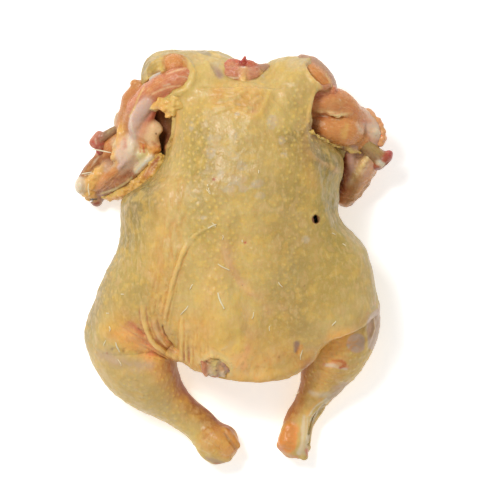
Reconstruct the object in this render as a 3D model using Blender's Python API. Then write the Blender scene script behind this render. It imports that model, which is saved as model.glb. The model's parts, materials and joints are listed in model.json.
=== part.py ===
"""A whole raw chicken, plucked and drawn, lying on its breast with its back up.

The neck, tail, feet and wing tips are cut off, and the skin is torn away from
both wings. The bird is one piece of flesh and skin; a bare bone sticks out of
each wing. Millimetres in the tables, metres in the meshes, +Z up, head at +Y.
"""

import math

import bmesh
import bpy
import numpy as np
import openvdb
from mathutils import Euler, Matrix, Vector

MM = 0.001
VOXEL = 2.0
BONE_VOXEL = 0.8
CARCASS_TRIANGLES = 10800
BONE_TRIANGLES = 500
BONE_CLEARANCE = 0.5
FLAT_CUT = 0.4

SKIN_COLOUR = (0.62, 0.43, 0.17, 1.0)
BONE_COLOUR = (0.35, 0.26, 0.14, 1.0)

# The block of space that holds the bird while it is modelled
BLOCK_LOW = (-134.0, -180.0, -10.0)
BLOCK_HIGH = (124.0, 152.0, 120.0)
TABLE_ROUNDING = 5.0

# The trunk, tail to neck: distance along the back, left side, right side, back, breast
TRUNK = (
    (-100, -26, 38, 68, 50),
    (-90, -40, 48, 77, 32),
    (-65, -56, 60, 87, 8),
    (-35, -70, 70, 94, -2),
    (-5, -85, 70, 101, -6),
    (22, -88, 69, 106, -7),
    (48, -77, 72, 108, -6),
    (74, -62, 66, 105, -3),
    (92, -54, 56, 98, 6),
    (104, -46, 48, 90, 18),
)
TRUNK_SQUARENESS = 2.35

# Folds of loose skin seen from above: x, y and radius along each
LEFT_FOLD = ((-37, 1, 2), (-42, -9, 3.2), (-47, -27, 3.6), (-52, -43, 3.6), (-55, -58, 3.2), (-55, -66, 2))
YELLOW_FOLD = ((-70, -50, 2), (-70, -63, 3.4), (-66, -73, 3.6), (-59, -78, 3.4), (-50, -81, 2.5))
PINK_FOLD = ((-62, -57, 1.5), (-59, -68, 2.8), (-53, -76, 2.8), (-48, -80, 1.5))
BACK_VALLEY = ((0, 12, 4), (-2, -8, 7), (0, -30, 8), (4, -48, 7), (7, -66, 4))
NECK_FOLDS = (
    ((-24, 111, 1.5), (-10, 108, 2.4), (6, 110, 2.4), (20, 106, 1.5)),
    ((-22, 103, 1.5), (-8, 100, 2.4), (8, 101, 2.4), (19, 96, 1.5)),
    ((-18, 94, 1.5), (-6, 92, 2.2), (8, 92, 2.2), (17, 89, 1.5)),
)
# The edge of skin along the belly, from the tail round to the right knee
BELLY_EDGE = (
    (-43, -86, 62, 3),
    (-36, -89, 65, 3.4),
    (-27, -94, 69, 3.4),
    (-10, -101, 72, 3.2),
    (6, -102, 71, 3.2),
    (20, -102, 68, 3.4),
    (34, -97, 65, 3.6),
    (45, -92, 63, 3.8),
    (54, -80, 63, 3.8),
    (62, -73, 62, 3.6),
    (74, -68, 58, 3.2),
    (86, -61, 52, 3),
)


def smooth_rows(rows, steps):
    """Rows of numbers with Catmull-Rom rows put between them, so that a few stations make a curve."""
    rows = np.array(rows, float)
    ends = np.vstack([2 * rows[0] - rows[1], rows, 2 * rows[-1] - rows[-2]])
    out = []
    for p0, p1, p2, p3 in zip(ends, ends[1:], ends[2:], ends[3:]):
        for t in np.arange(steps) / steps:
            bend = 2 * p0 - 5 * p1 + 4 * p2 - p3
            twist = 3 * p1 - p0 - 3 * p2 + p3
            out.append(p1 + 0.5 * t * (p2 - p0 + t * (bend + t * twist)))
    out.append(rows[-1])
    return np.array(out)


def evened(distance, spacing):
    """A field divided by its slope, so that its values are near to real distances."""
    slopes = np.gradient(distance, spacing)
    return distance / np.maximum(np.sqrt(sum(s * s for s in slopes)), 0.25)


def egg(centre, radii, turn=(0, 0, 0)):
    """An ellipsoid, turned by degrees about X, Y and Z."""
    centre, radii = np.array(centre, float), np.array(radii, float)
    axes = np.array(Euler([math.radians(a) for a in turn]).to_matrix()).T
    reach = np.full(3, radii.max())

    def distance(x, y, z):
        local = [a[0] * (x - centre[0]) + a[1] * (y - centre[1]) + a[2] * (z - centre[2]) for a in axes]
        near = np.sqrt(sum((c / r) ** 2 for c, r in zip(local, radii)))
        slope = np.sqrt(sum((c / (r * r)) ** 2 for c, r in zip(local, radii)))
        return near * (near - 1) / np.maximum(slope, 1e-6)

    return centre - reach, centre + reach, distance


def limb(stations, steps=4, tall=1.0):
    """A round limb through stations of x, y, z and radius. Tall stretches its section upwards."""
    rows = smooth_rows(stations, steps)
    reach = rows[:, 3:].max() * max(1.0, tall)
    low, high = rows[:, :3].min(axis=0) - reach, rows[:, :3].max(axis=0) + reach
    rows = rows * [1, 1, 1 / tall, 1]

    def distance(x, y, z):
        z = z / tall
        nearest = None
        for a, b in zip(rows, rows[1:]):
            run = b[:3] - a[:3]
            share = (x - a[0]) * run[0] + (y - a[1]) * run[1] + (z - a[2]) * run[2]
            share = np.clip(share / max(run @ run, 1e-9), 0, 1)
            away = (x - a[0] - share * run[0]) ** 2 + (y - a[1] - share * run[1]) ** 2
            away = np.sqrt(away + (z - a[2] - share * run[2]) ** 2) - a[3] - share * (b[3] - a[3])
            nearest = away if nearest is None else np.minimum(nearest, away)
        return nearest * min(1.0, tall)

    return low, high, distance


def barrel(stations, squareness):
    """A body along Y whose left, right, top and bottom follow the stations."""
    rows = smooth_rows(stations, 6)
    low = np.array([rows[:, 1].min(), rows[0, 0], rows[:, 4].min()])
    high = np.array([rows[:, 2].max(), rows[-1, 0], rows[:, 3].max()])

    def distance(x, y, z):
        left, right, top, bottom = (np.interp(y, rows[:, 0], rows[:, i]) for i in (1, 2, 3, 4))
        width, height = (right - left) / 2, (top - bottom) / 2
        across = np.abs(x - (left + right) / 2) / width
        up = np.abs(z - (top + bottom) / 2) / height
        ring = (across**squareness + up**squareness) ** (1 / squareness)
        side = (ring - 1) * np.minimum(width, height)
        return np.maximum(side, np.maximum(rows[0, 0] - y, y - rows[-1, 0]))

    return low, high, distance


class Flesh:
    """Signed distances on a block of small cubes: below zero is inside the flesh."""

    def __init__(self, low, high, voxel):
        self.low, self.voxel, self.band = np.array(low), voxel, 4 * voxel
        counts = np.ceil((np.array(high) - low) / voxel).astype(int) + 1
        self.lines = [low[i] + voxel * np.arange(counts[i]) for i in range(3)]
        self.field = np.full(counts, self.band + 30, np.float32)

    def near(self, shape, margin):
        """The part of the block round a shape, and the shape's distances there."""
        low, high, distance = shape
        cut = tuple(
            slice(
                max(0, int((low[i] - margin - line[0]) / self.voxel)),
                max(0, int((high[i] + margin - line[0]) / self.voxel) + 2),
            )
            for i, line in enumerate(self.lines)
        )
        x, y, z = np.meshgrid(*(line[s] for line, s in zip(self.lines, cut)), indexing="ij", sparse=True)
        return cut, evened(distance(x, y, z) + 0 * (x + y + z), self.voxel)

    def add(self, shape, blend=6.0):
        """Joins a shape on, with a fillet about as wide as blend."""
        cut, distance = self.near(shape, blend + self.band)
        here = self.field[cut]
        round_in = np.maximum(blend - np.abs(here - distance), 0) / blend
        self.field[cut] = np.minimum(here, distance) - round_in * round_in * blend / 4

    def carve(self, shape, blend=3.0):
        """Takes a shape out, with an edge rounded by about blend."""
        cut, distance = self.near(shape, blend + self.band)
        here, distance = self.field[cut], -distance
        round_off = np.maximum(blend - np.abs(here - distance), 0) / blend
        self.field[cut] = np.maximum(here, distance) + round_off * round_off * blend / 4

    def height(self, x, y):
        """How high the flesh reaches at a point seen from above."""
        column = self.field[int((x - self.low[0]) / self.voxel), int((y - self.low[1]) / self.voxel)]
        top = np.flatnonzero(column < 0)[-1]
        share = column[top] / (column[top] - column[top + 1])
        return self.lines[2][top] + share * self.voxel

    def draped(self, path, lift):
        """Stations of a limb that lies along the top of the flesh, lifted by a share of its radius."""
        return limb([(x, y, self.height(x, y) + lift * radius, radius) for x, y, radius in path])

    def rest_on_table(self):
        """Presses the flesh flat where it would go below the table."""
        depth = np.broadcast_to(-self.lines[2], self.field.shape)
        round_off = np.maximum(TABLE_ROUNDING - np.abs(self.field - depth), 0) / TABLE_ROUNDING
        self.field = np.maximum(self.field, depth) + round_off * round_off * TABLE_ROUNDING / 4

    def surface(self):
        """Points and four-sided faces of the flesh's outside."""
        grid = openvdb.FloatGrid(self.band)
        grid.copyFromArray(np.clip(self.field, -self.band, self.band).astype(np.float32))
        points, quads = grid.convertToQuads(0.0)
        return points * self.voxel + self.low, quads


def trunk_and_rump(flesh):
    flesh.add(barrel(TRUNK, TRUNK_SQUARENESS), 1)
    # the rump, higher along the spine, and the broad front of the breast
    flesh.add(egg((-14, -54, 66), (30, 46, 29), (7, 0, 0)), 14)
    flesh.add(egg((2, 92, 52), (56, 34, 46)), 16)
    # lobes that bulge in front of the shoulders
    flesh.add(egg((-46, 116, 58), (26, 24, 34)), 12)
    flesh.add(egg((-19, 112, 52), (25, 26, 34)), 12)
    flesh.add(egg((42, 108, 54), (29, 28, 36), (0, 0, -8)), 12)


def thighs(flesh):
    left = [(-38, -12, 56, 38), (-59, -32, 50, 38), (-76, -53, 42, 33), (-86, -72, 34, 27)]
    right = [(30, -14, 57, 38), (50, -30, 53, 37), (66, -45, 47, 34), (75, -57, 40, 28)]
    flesh.add(limb(left, 10), 14)
    flesh.add(limb(right, 10), 14)
    flesh.add(egg((55, -52, 59), (39, 38, 30), (6, 14, -20)), 12)


def drumsticks(flesh):
    left = [
        (-86, -72, 29, 28.5),
        (-77, -89, 27, 28),
        (-68, -104, 24, 23),
        (-57, -116, 19, 17.6),
        (-43, -128, 15, 12.8),
        (-30, -139, 14, 12.2),
        (-21, -148, 14, 14),
        (-15, -151, 14, 15),
    ]
    right = [
        (75, -62, 29, 27),
        (68, -80, 27, 26),
        (63, -98, 21, 17.6),
        (56, -113, 16, 12.4),
        (48, -127, 12, 10.2),
        (43, -139, 11.5, 10.8),
        (41, -151, 12.5, 12),
    ]
    flesh.add(limb(left, 8), 4)
    flesh.add(limb(right, 8), 4)


def tail_and_belly(flesh):
    # a shallow hollow below the skin's edge, and the tail stump on it
    flesh.carve(egg((2, -119, 43), (42, 27, 24)), 9)
    flesh.add(limb(BELLY_EDGE), 5)
    flesh.add(limb([(-27, -91, 72, 2.5), (-24, -86, 77, 2.5), (-16, -84, 79, 2.5), (-9, -93, 76, 2.5)]), 3)
    flesh.carve(egg((-18, -96, 76), (9, 9, 5), (20, 0, 0)), 3)


def left_wing(flesh):
    # the web of flesh that joins the wing to the side
    flesh.add(limb([(-60, 104, 52, 13), (-64, 84, 44, 13), (-66, 64, 38, 13)]), 8)
    # the skin torn back over the shoulder, and the fan of muscle that comes out of it
    flesh.add(limb([(-38, 121, 78, 10), (-52, 115, 74, 9.5), (-64, 108, 69, 8.5), (-75, 100, 62, 8)]), 3)
    flesh.add(egg((-48, 127, 68), (12, 9, 11)), 3)
    # outer muscle, then the sheathed one that runs down to the elbow
    flesh.add(limb([(-72, 115, 58, 6), (-78, 106, 54, 8), (-79, 96, 50, 9.5), (-82, 85, 46, 10.5)]), 3)
    flesh.add(limb([(-68, 105, 74, 5.5), (-75, 92, 67, 6.5), (-78, 81, 61, 6.5), (-75, 70, 55, 6)]), 2)
    flesh.add(limb([(-68, 98, 66, 6), (-70, 84, 60, 6), (-70, 74, 56, 6)]), 2)
    # elbow, the pointed flap of skin on its inner side and the fat below it
    flesh.add(egg((-82, 70, 47), (15, 17, 14)), 4)
    flesh.add(limb([(-71, 80, 62, 6), (-64, 83, 64, 4), (-58, 81, 62, 2)]), 2)
    flesh.add(egg((-66, 68, 54), (9, 9, 11)), 3)
    # forearm, cut off at the wrist
    flesh.add(limb([(-76, 58, 42, 12), (-92, 49, 32, 12.5), (-103, 44, 24, 11), (-111, 41, 19, 9.5)]), 4)
    flesh.add(limb([(-86, 76, 40, 9), (-97, 64, 33, 9), (-105, 53, 26, 8)]), 4)
    flesh.add(limb([(-103, 38, 17, 6), (-108, 31, 12, 5)]), 2)
    # gristle along its inner edge, and the skin that hangs below
    flesh.add(limb([(-64, 62, 52, 4.5), (-75, 52, 46, 3.5), (-89, 42, 38, 2.5), (-101, 36, 28, 2.5)]), 2)
    flesh.add(limb([(-60, 60, 42, 6), (-68, 46, 36, 6), (-78, 37, 30, 6), (-90, 34, 24, 5), (-102, 34, 18, 4)]), 3)


def right_wing(flesh):
    # the web of flesh that joins the wing to the side
    flesh.add(limb([(60, 100, 54, 13), (68, 84, 46, 12), (76, 68, 38, 9), (78, 50, 30, 7)]), 6)
    flesh.add(egg((56, 114, 68), (13, 19, 19), (0, 0, -12)), 5)
    # upper arm: two lobes with a seam between them
    flesh.add(limb([(56, 103, 68, 11), (68, 101, 62, 10.5), (79, 96, 55, 8.5), (86, 90, 49, 7)]), 3)
    flesh.add(limb([(56, 85, 62, 10), (68, 83, 58, 11.5), (81, 80, 50, 11.5)]), 2)
    # elbow, and the wavy edge of skin below
    flesh.add(limb([(84, 94, 46, 7), (93, 89, 44, 8.5), (99, 80, 40, 9.5), (99, 73, 36, 9)]), 4)
    flesh.add(egg((88, 75, 42), (10, 9, 10)), 4)
    flesh.add(limb([(55, 76, 50, 4), (64, 72, 46, 4), (76, 69, 41, 4), (88, 67, 37, 4)]), 3)
    # forearm that hangs down beside the body
    flesh.add(limb([(95, 63, 31, 9), (86, 51, 25, 10.5), (79, 37, 18, 8.5), (77, 29, 14, 5)], tall=1.25), 3)
    flesh.add(limb([(76, 66, 34, 7), (78, 54, 28, 8), (76, 40, 22, 7)], tall=1.25), 3)


def neck(flesh):
    flesh.add(limb([(2, 92, 82, 17), (2, 108, 76, 15), (2, 120, 70, 12)]), 6)
    flesh.add(limb([(-4, 118, 74, 8), (-3, 127, 70, 6)]), 2)
    flesh.add(limb([(9, 118, 73, 8), (9, 126, 70, 6)]), 2)
    flesh.add(limb([(2, 126, 72, 3), (2, 135, 70, 1.6)]), 2)


def folds(flesh):
    flesh.carve(flesh.draped(BACK_VALLEY, 0.72), 6)
    for fold in (LEFT_FOLD, YELLOW_FOLD, PINK_FOLD, *NECK_FOLDS):
        flesh.add(flesh.draped(fold, -0.25), 3)


def wing_bone_left():
    """The bare bone of the left forearm, with its knuckle, and how far it reaches into the flesh."""
    flesh = Flesh((-120, 52, 22), (-74, 102, 72), BONE_VOXEL)
    flesh.add(limb([(-82, 88, 48, 2.6), (-93, 82, 45, 2.2), (-104, 75, 41, 2.8)]), 2)
    flesh.add(egg((-106.5, 70.5, 40), (4.4, 8, 5), (0, 0, -8)), 2)
    flesh.carve(egg((-110.5, 69, 44), (3, 3.5, 3)), 1)
    return flesh


def wing_bone_right():
    """The end of the right upper arm bone, with its hollow knuckle."""
    flesh = Flesh((76, 40, 16), (122, 92, 66), BONE_VOXEL)
    flesh.add(limb([(87, 78, 45, 4.6), (95, 70, 41, 5.2), (104, 61, 37, 6)]), 2)
    flesh.add(egg((105.5, 59, 36.5), (8, 5.5, 7.5), (0, 0, 42)), 2)
    flesh.carve(egg((108.5, 56, 38), (4, 2.4, 4), (0, 0, 42)), 1)
    return flesh


def carcass():
    """All of the flesh, skin and joined bone of the bird."""
    flesh = Flesh(BLOCK_LOW, BLOCK_HIGH, VOXEL)
    for build in (trunk_and_rump, thighs, drumsticks, tail_and_belly, left_wing, right_wing, neck, folds):
        build(flesh)
    flesh.rest_on_table()
    return flesh


def material(name, colour, roughness):
    made = bpy.data.materials.new(name)
    made.use_nodes = True
    shader = made.node_tree.nodes["Principled BSDF"]
    shader.inputs["Base Color"].default_value = colour
    shader.inputs["Roughness"].default_value = roughness
    made.diffuse_color = colour
    return made


def modelled(name, flesh, triangles, finish):
    """An object with the flesh's surface, thinned to about so many triangles."""
    points, quads = flesh.surface()
    dense = bpy.data.meshes.new(name)
    dense.from_pydata((points * MM).tolist(), [], quads.tolist())
    item = bpy.data.objects.new(name, dense)
    bpy.context.scene.collection.objects.link(item)
    thinner = item.modifiers.new("Thinner", "DECIMATE")
    thinner.use_collapse_triangulate = True
    thinner.ratio = triangles / (2 * len(quads))
    graph = bpy.context.evaluated_depsgraph_get()
    item.data = bpy.data.meshes.new_from_object(item.evaluated_get(graph))
    item.modifiers.clear()
    item.data.materials.append(finish)
    item.data.shade_smooth()
    return item


def cut_flat(item, height):
    """Cuts the underside off level, so that the bird lies on truly flat patches."""
    shape = bmesh.new()
    shape.from_mesh(item.data)
    whole = shape.verts[:] + shape.edges[:] + shape.faces[:]
    cut = bmesh.ops.bisect_plane(
        shape, geom=whole, plane_co=(0, 0, height), plane_no=(0, 0, 1), clear_inner=True, dist=1e-7
    )
    rim = [part for part in cut["geom_cut"] if isinstance(part, bmesh.types.BMEdge)]
    bmesh.ops.holes_fill(shape, edges=rim, sides=0)
    bmesh.ops.triangulate(shape, faces=[face for face in shape.faces if len(face.verts) > 3])
    bmesh.ops.recalc_face_normals(shape, faces=shape.faces[:])
    shape.to_mesh(item.data)
    shape.free()


def socket(item, bone, clearance):
    """Leaves room for a bone in the flesh: the bone, swollen by the clearance, is cut away."""
    room = bone.copy()
    room.data = bone.data.copy()
    room.name = "room_for_" + bone.name
    room.hide_render = True
    room.display_type = "WIRE"
    bpy.context.scene.collection.objects.link(room)
    normals = [vertex.normal.copy() for vertex in room.data.vertices]
    for vertex, normal in zip(room.data.vertices, normals):
        vertex.co += normal * clearance
    cut = item.modifiers.new("Socket", "BOOLEAN")
    cut.operation = "DIFFERENCE"
    cut.object = room


def centre(items):
    """Moves the bird so that its box stands on the origin."""
    corners = [vertex.co for item in items for vertex in item.data.vertices]
    low = Vector([min(corner[i] for corner in corners) for i in range(3)])
    high = Vector([max(corner[i] for corner in corners) for i in range(3)])
    shift = Vector((-(low.x + high.x) / 2, -(low.y + high.y) / 2, -low.z))
    for item in items:
        item.data.transform(Matrix.Translation(shift))


def main():
    for item in list(bpy.data.objects):
        bpy.data.objects.remove(item)
    skin = material("skin", SKIN_COLOUR, 0.42)
    bone = material("bone", BONE_COLOUR, 0.35)
    bird = modelled("carcass", carcass(), CARCASS_TRIANGLES, skin)
    bones = [
        modelled("wing_bone_left", wing_bone_left(), BONE_TRIANGLES, bone),
        modelled("wing_bone_right", wing_bone_right(), BONE_TRIANGLES, bone),
    ]
    cut_flat(bird, FLAT_CUT * MM)
    centre([bird, *bones])
    for piece in bones:
        socket(bird, piece, BONE_CLEARANCE * MM)


main()
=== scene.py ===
# A whole raw chicken lying on its breast: yellow skin, torn wings, neck stub, tail stump and bare bones
import json
import math

import bmesh
import bpy
import numpy as np
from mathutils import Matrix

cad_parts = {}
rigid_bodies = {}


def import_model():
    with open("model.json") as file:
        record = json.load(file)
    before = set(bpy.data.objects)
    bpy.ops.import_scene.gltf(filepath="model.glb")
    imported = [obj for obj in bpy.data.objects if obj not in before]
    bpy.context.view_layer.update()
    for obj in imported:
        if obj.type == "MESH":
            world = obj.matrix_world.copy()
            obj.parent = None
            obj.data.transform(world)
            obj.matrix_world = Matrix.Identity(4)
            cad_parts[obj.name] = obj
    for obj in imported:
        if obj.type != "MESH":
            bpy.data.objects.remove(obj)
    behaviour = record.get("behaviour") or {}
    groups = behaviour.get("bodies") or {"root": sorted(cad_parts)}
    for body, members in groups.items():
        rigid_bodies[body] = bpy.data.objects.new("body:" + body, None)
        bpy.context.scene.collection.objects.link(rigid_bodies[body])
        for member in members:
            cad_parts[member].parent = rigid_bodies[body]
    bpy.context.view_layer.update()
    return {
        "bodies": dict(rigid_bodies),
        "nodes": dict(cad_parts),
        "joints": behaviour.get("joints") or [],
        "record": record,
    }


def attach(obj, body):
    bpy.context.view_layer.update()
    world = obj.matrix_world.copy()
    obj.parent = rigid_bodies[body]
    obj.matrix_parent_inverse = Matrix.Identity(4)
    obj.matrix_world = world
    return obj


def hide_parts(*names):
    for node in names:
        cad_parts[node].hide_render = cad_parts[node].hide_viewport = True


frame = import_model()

import openvdb
from mathutils import Euler, Vector
from mathutils.bvhtree import BVHTree

mm = 0.001
birdShift = np.array([3.952, 12.926, -0.4])  # mm, from a frame centred on the photo to the CAD frame
clearance = 0.05  # mm that everything stays above the floor


# Colours are given as 0-255 values as seen, and used as scene-linear ones
def seen(*levels):
    return np.array([c / 3294.6 if c < 10.3 else ((c / 255 + 0.055) / 1.055) ** 2.4 for c in levels])


# Shape kit: each shape is its low corner, its high corner and a function of signed distance, in mm
def smoothRows(rows, steps):
    rows = np.array(rows, float)
    ends = np.vstack([2 * rows[0] - rows[1], rows, 2 * rows[-1] - rows[-2]])
    out = []
    for p0, p1, p2, p3 in zip(ends, ends[1:], ends[2:], ends[3:]):
        for t in np.arange(steps) / steps:
            bend = 2 * p0 - 5 * p1 + 4 * p2 - p3
            twist = 3 * p1 - p0 - 3 * p2 + p3
            out.append(p1 + 0.5 * t * (p2 - p0 + t * (bend + t * twist)))
    out.append(rows[-1])
    return np.array(out)


def egg(centre, radii, turn=(0, 0, 0)):
    centre, radii = np.array(centre, float), np.array(radii, float)
    axes = np.array(Euler([math.radians(a) for a in turn]).to_matrix()).T
    reach = np.full(3, radii.max())

    def distance(x, y, z):
        local = [a[0] * (x - centre[0]) + a[1] * (y - centre[1]) + a[2] * (z - centre[2]) for a in axes]
        near = np.sqrt(sum((c / r) ** 2 for c, r in zip(local, radii)))
        slope = np.sqrt(sum((c / (r * r)) ** 2 for c, r in zip(local, radii)))
        return near * (near - 1) / np.maximum(slope, 1e-6)

    return centre - reach, centre + reach, distance


def limb(stations, steps=5, tall=1.0):
    rows = smoothRows(stations, steps)
    reach = rows[:, 3:].max() * max(1.0, tall)
    low, high = rows[:, :3].min(axis=0) - reach, rows[:, :3].max(axis=0) + reach
    rows = rows * [1, 1, 1 / tall, 1]

    def distance(x, y, z):
        z = z / tall
        nearest = None
        for a, b in zip(rows, rows[1:]):
            run = b[:3] - a[:3]
            share = (x - a[0]) * run[0] + (y - a[1]) * run[1] + (z - a[2]) * run[2]
            share = np.clip(share / max(run @ run, 1e-9), 0, 1)
            away = (x - a[0] - share * run[0]) ** 2 + (y - a[1] - share * run[1]) ** 2
            away = np.sqrt(away + (z - a[2] - share * run[2]) ** 2) - a[3] - share * (b[3] - a[3])
            nearest = away if nearest is None else np.minimum(nearest, away)
        return nearest * min(1.0, tall)

    distance.rows = rows
    return low, high, distance


def barrel(stations, squareness):
    rows = smoothRows(stations, 6)
    low = np.array([rows[:, 1].min(), rows[0, 0], rows[:, 4].min()])
    high = np.array([rows[:, 2].max(), rows[-1, 0], rows[:, 3].max()])

    def distance(x, y, z):
        left, right, top, bottom = (np.interp(y, rows[:, 0], rows[:, i]) for i in (1, 2, 3, 4))
        width, height = (right - left) / 2, (top - bottom) / 2
        across = np.abs(x - (left + right) / 2) / width
        up = np.abs(z - (top + bottom) / 2) / height
        ring = (across**squareness + up**squareness) ** (1 / squareness)
        return np.maximum((ring - 1) * np.minimum(width, height), np.maximum(rows[0, 0] - y, y - rows[-1, 0]))

    return low, high, distance


# Joins two fields of signed distance and rounds where they meet
def joined(here, there, blend):
    rounded = np.maximum(blend - np.abs(here - there), 0) / blend
    return np.minimum(here, there) - rounded * rounded * blend / 4


# Flesh is a block of small cubes of signed distance, to which shapes are joined or from which they are taken
class Flesh:
    def __init__(self, low, high, voxel):
        self.low, self.voxel, self.band = np.array(low, float), voxel, 4 * voxel
        counts = np.ceil((np.array(high) - low) / voxel).astype(int) + 1
        self.lines = [low[i] + voxel * np.arange(counts[i]) for i in range(3)]
        self.field = np.full(counts, self.band + 30, np.float32)
        self.shapes, self.tints = [], []

    def near(self, shape, margin):
        low, high, distance = shape
        cut = tuple(
            slice(
                max(0, int((low[i] - margin - line[0]) / self.voxel)),
                max(0, int((high[i] + margin - line[0]) / self.voxel) + 2),
            )
            for i, line in enumerate(self.lines)
        )
        x, y, z = np.meshgrid(*(line[s] for line, s in zip(self.lines, cut)), indexing="ij", sparse=True)
        found = distance(x, y, z) + 0 * (x + y + z)
        slopes = np.gradient(found, self.voxel)
        return cut, found / np.maximum(np.sqrt(sum(s * s for s in slopes)), 0.25)

    def add(self, shape, blend, tint=None):
        cut, distance = self.near(shape, blend + self.band)
        self.field[cut] = joined(self.field[cut], distance, blend)
        self.shapes.append(shape)
        self.tints.append(tint)

    def carve(self, shape, blend):
        cut, distance = self.near(shape, blend + self.band)
        self.field[cut] = -joined(-self.field[cut], distance, blend)

    # How high the flesh reaches at a point seen from above, or close by where it ends short of it
    def height(self, x, y):
        i, j = int((x - self.low[0]) / self.voxel), int((y - self.low[1]) / self.voxel)
        for reach in (0, 2, 4, 8):
            around = tuple(slice(max(at - reach, 0), at + reach + 1) for at in (i, j))
            column = self.field[around].min(axis=(0, 1))
            filled = np.flatnonzero(column < 0)
            if len(filled):
                top = filled[-1]
                return self.lines[2][top] + self.voxel * column[top] / (column[top] - column[top + 1])

    def draped(self, path, lift):
        return limb([(x, y, self.height(x, y) + lift * radius, radius) for x, y, radius in path])

    def lay(self, rows, action):
        for path, lift, blend in rows:
            action(self.draped(path, lift), blend)

    def restOnTable(self, rounding):
        self.field = -joined(-self.field, self.lines[2], rounding)

    def surface(self):
        grid = openvdb.FloatGrid(self.band)
        grid.copyFromArray(np.clip(self.field, -self.band, self.band).astype(np.float32))
        points, quads = grid.convertToQuads(0.0)
        return points * self.voxel + self.low, quads.tolist()


# Value noise on points, from -1 to 1, for lumps in a surface and ragged edges of a stain
def lumps(points, size, seed):
    cells = np.floor(points / size).astype(np.int64)
    share = points / size - cells
    share = share * share * (3 - 2 * share)
    total = np.zeros(len(points))
    for corner in np.ndindex(2, 2, 2):
        at = cells + corner
        mixed = at[:, 0] * 73856093 ^ at[:, 1] * 19349663 ^ at[:, 2] * 83492791 ^ seed * 2654435761
        mixed = (mixed ^ (mixed >> 13)) * 1274126177 & 0xFFFFFFFF
        weight = np.prod(np.where(corner, share, 1 - share), axis=1)
        total += weight * ((mixed ^ (mixed >> 16)) & 0xFFFF) / 32767.5
    return total - 1


# Layers of lumps, each with its size and height in mm and its seed
def heaped(points, layers):
    return sum(height * lumps(points, size, seed) for size, height, seed in layers)


def fade(value, start, end):
    share = np.clip((value - start) / (end - start), 0, 1)
    return share * share * (3 - 2 * share)


# Distance seen from above from a path of x, y and radius, below zero inside it, and the way along it
def planDistance(points, path, steps=6):
    rows = smoothRows(path, steps) if len(path) > 2 else np.array([path[0], path[-1]], float)
    best, along, run = np.full(len(points), 1e9), np.zeros(len(points)), 0.0
    for a, b in zip(rows, rows[1:]):
        step = b[:2] - a[:2]
        length = max(float(np.hypot(*step)), 1e-9)
        share = np.clip(((points[:, :2] - a[:2]) @ step) / length**2, 0, 1)
        away = np.hypot(*(points[:, :2] - a[:2] - share[:, None] * step).T) - a[2] - share * (b[2] - a[2])
        closer = away < best
        best[closer], along[closer] = away[closer], run + share[closer] * length
        run += length
    return best, along / max(run, 1e-9)


# Which part of a surface a path covers: 1 inside, 0 outside, with a soft and ragged edge
def covered(points, path, soft, ragged=0.0):
    rows = np.array(path, float)
    flat = rows.shape[1] == 3
    reach = rows[:, -1].max() + soft + abs(np.max(ragged)) + 2
    low, high = rows[:, :-1].min(axis=0) - reach, rows[:, :-1].max(axis=0) + reach
    spread = points[:, : rows.shape[1] - 1]
    inside = np.flatnonzero(np.all((spread > low) & (spread < high), axis=1))
    share = np.zeros(len(points))
    if len(inside):
        some = points[inside]
        if flat:
            away = planDistance(some, path)[0]
        else:
            away = (limb(path) if len(path) > 1 else egg(path[0][:3], [path[0][3]] * 3))[2](*some.T)
        edge = ragged[inside] if np.ndim(ragged) else ragged
        share[inside] = 1 - fade(away + edge, -soft / 2, soft / 2)
    return share


def linked(name, data):
    item = bpy.data.objects.new(name, data)
    bpy.context.scene.collection.objects.link(item)
    return item


def meshFrom(name, points, faces, edges=()):
    mesh = bpy.data.meshes.new(name)
    mesh.from_pydata((np.array(points) * mm).tolist(), edges, faces)
    return linked(name, mesh)


def settled(item):
    graph = bpy.context.evaluated_depsgraph_get()
    mesh = bpy.data.meshes.new_from_object(item.evaluated_get(graph))
    item.modifiers.clear()
    item.data = mesh
    return item


def triangleCount(item):
    item.data.calc_loop_triangles()
    return len(item.data.loop_triangles)


# Thins a mesh to so many triangles, only where the weight of a point is above zero
def thinned(item, most, weights=None):
    count = triangleCount(item)
    if count <= most:
        return item
    thinner = item.modifiers.new("thinner", "DECIMATE")
    thinner.use_collapse_triangulate = True
    thinner.ratio = most / count
    if weights is not None:
        group = item.vertex_groups.new(name="thin")
        for index in np.flatnonzero(weights > 0):
            group.add([int(index)], 1.0, "REPLACE")
        thinner.vertex_group = "thin"
    settled(item)
    item.vertex_groups.clear()
    return item


def pointsOf(item):
    points = np.empty(len(item.data.vertices) * 3)
    item.data.vertices.foreach_get("co", points)
    return points.reshape(-1, 3) / mm


def normalsOf(item):
    normals = np.empty(len(item.data.vertices) * 3, np.float32)
    item.data.vertex_normals.foreach_get("vector", normals)
    return normals.reshape(-1, 3).astype(float)


def moveTo(item, points):
    item.data.vertices.foreach_set("co", (points * mm).ravel())
    item.data.update()


def store(item, name, values):
    kind, key = {1: ("FLOAT", "value"), 3: ("FLOAT_VECTOR", "vector"), 4: ("FLOAT_COLOR", "color")}[
        1 if np.ndim(values) == 1 else values.shape[1]
    ]
    layer = item.data.attributes.new(name, kind, "POINT")
    layer.data.foreach_set(key, np.ascontiguousarray(values, np.float32).ravel())


def read(item, name, width=1):
    values = np.empty(len(item.data.vertices) * width, np.float32)
    item.data.attributes[name].data.foreach_get("value" if width == 1 else "vector", values)
    return values.astype(float) if width == 1 else values.reshape(-1, width).astype(float)


def withAlpha(colours):
    return np.column_stack([colours, np.ones(len(colours))])


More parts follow.
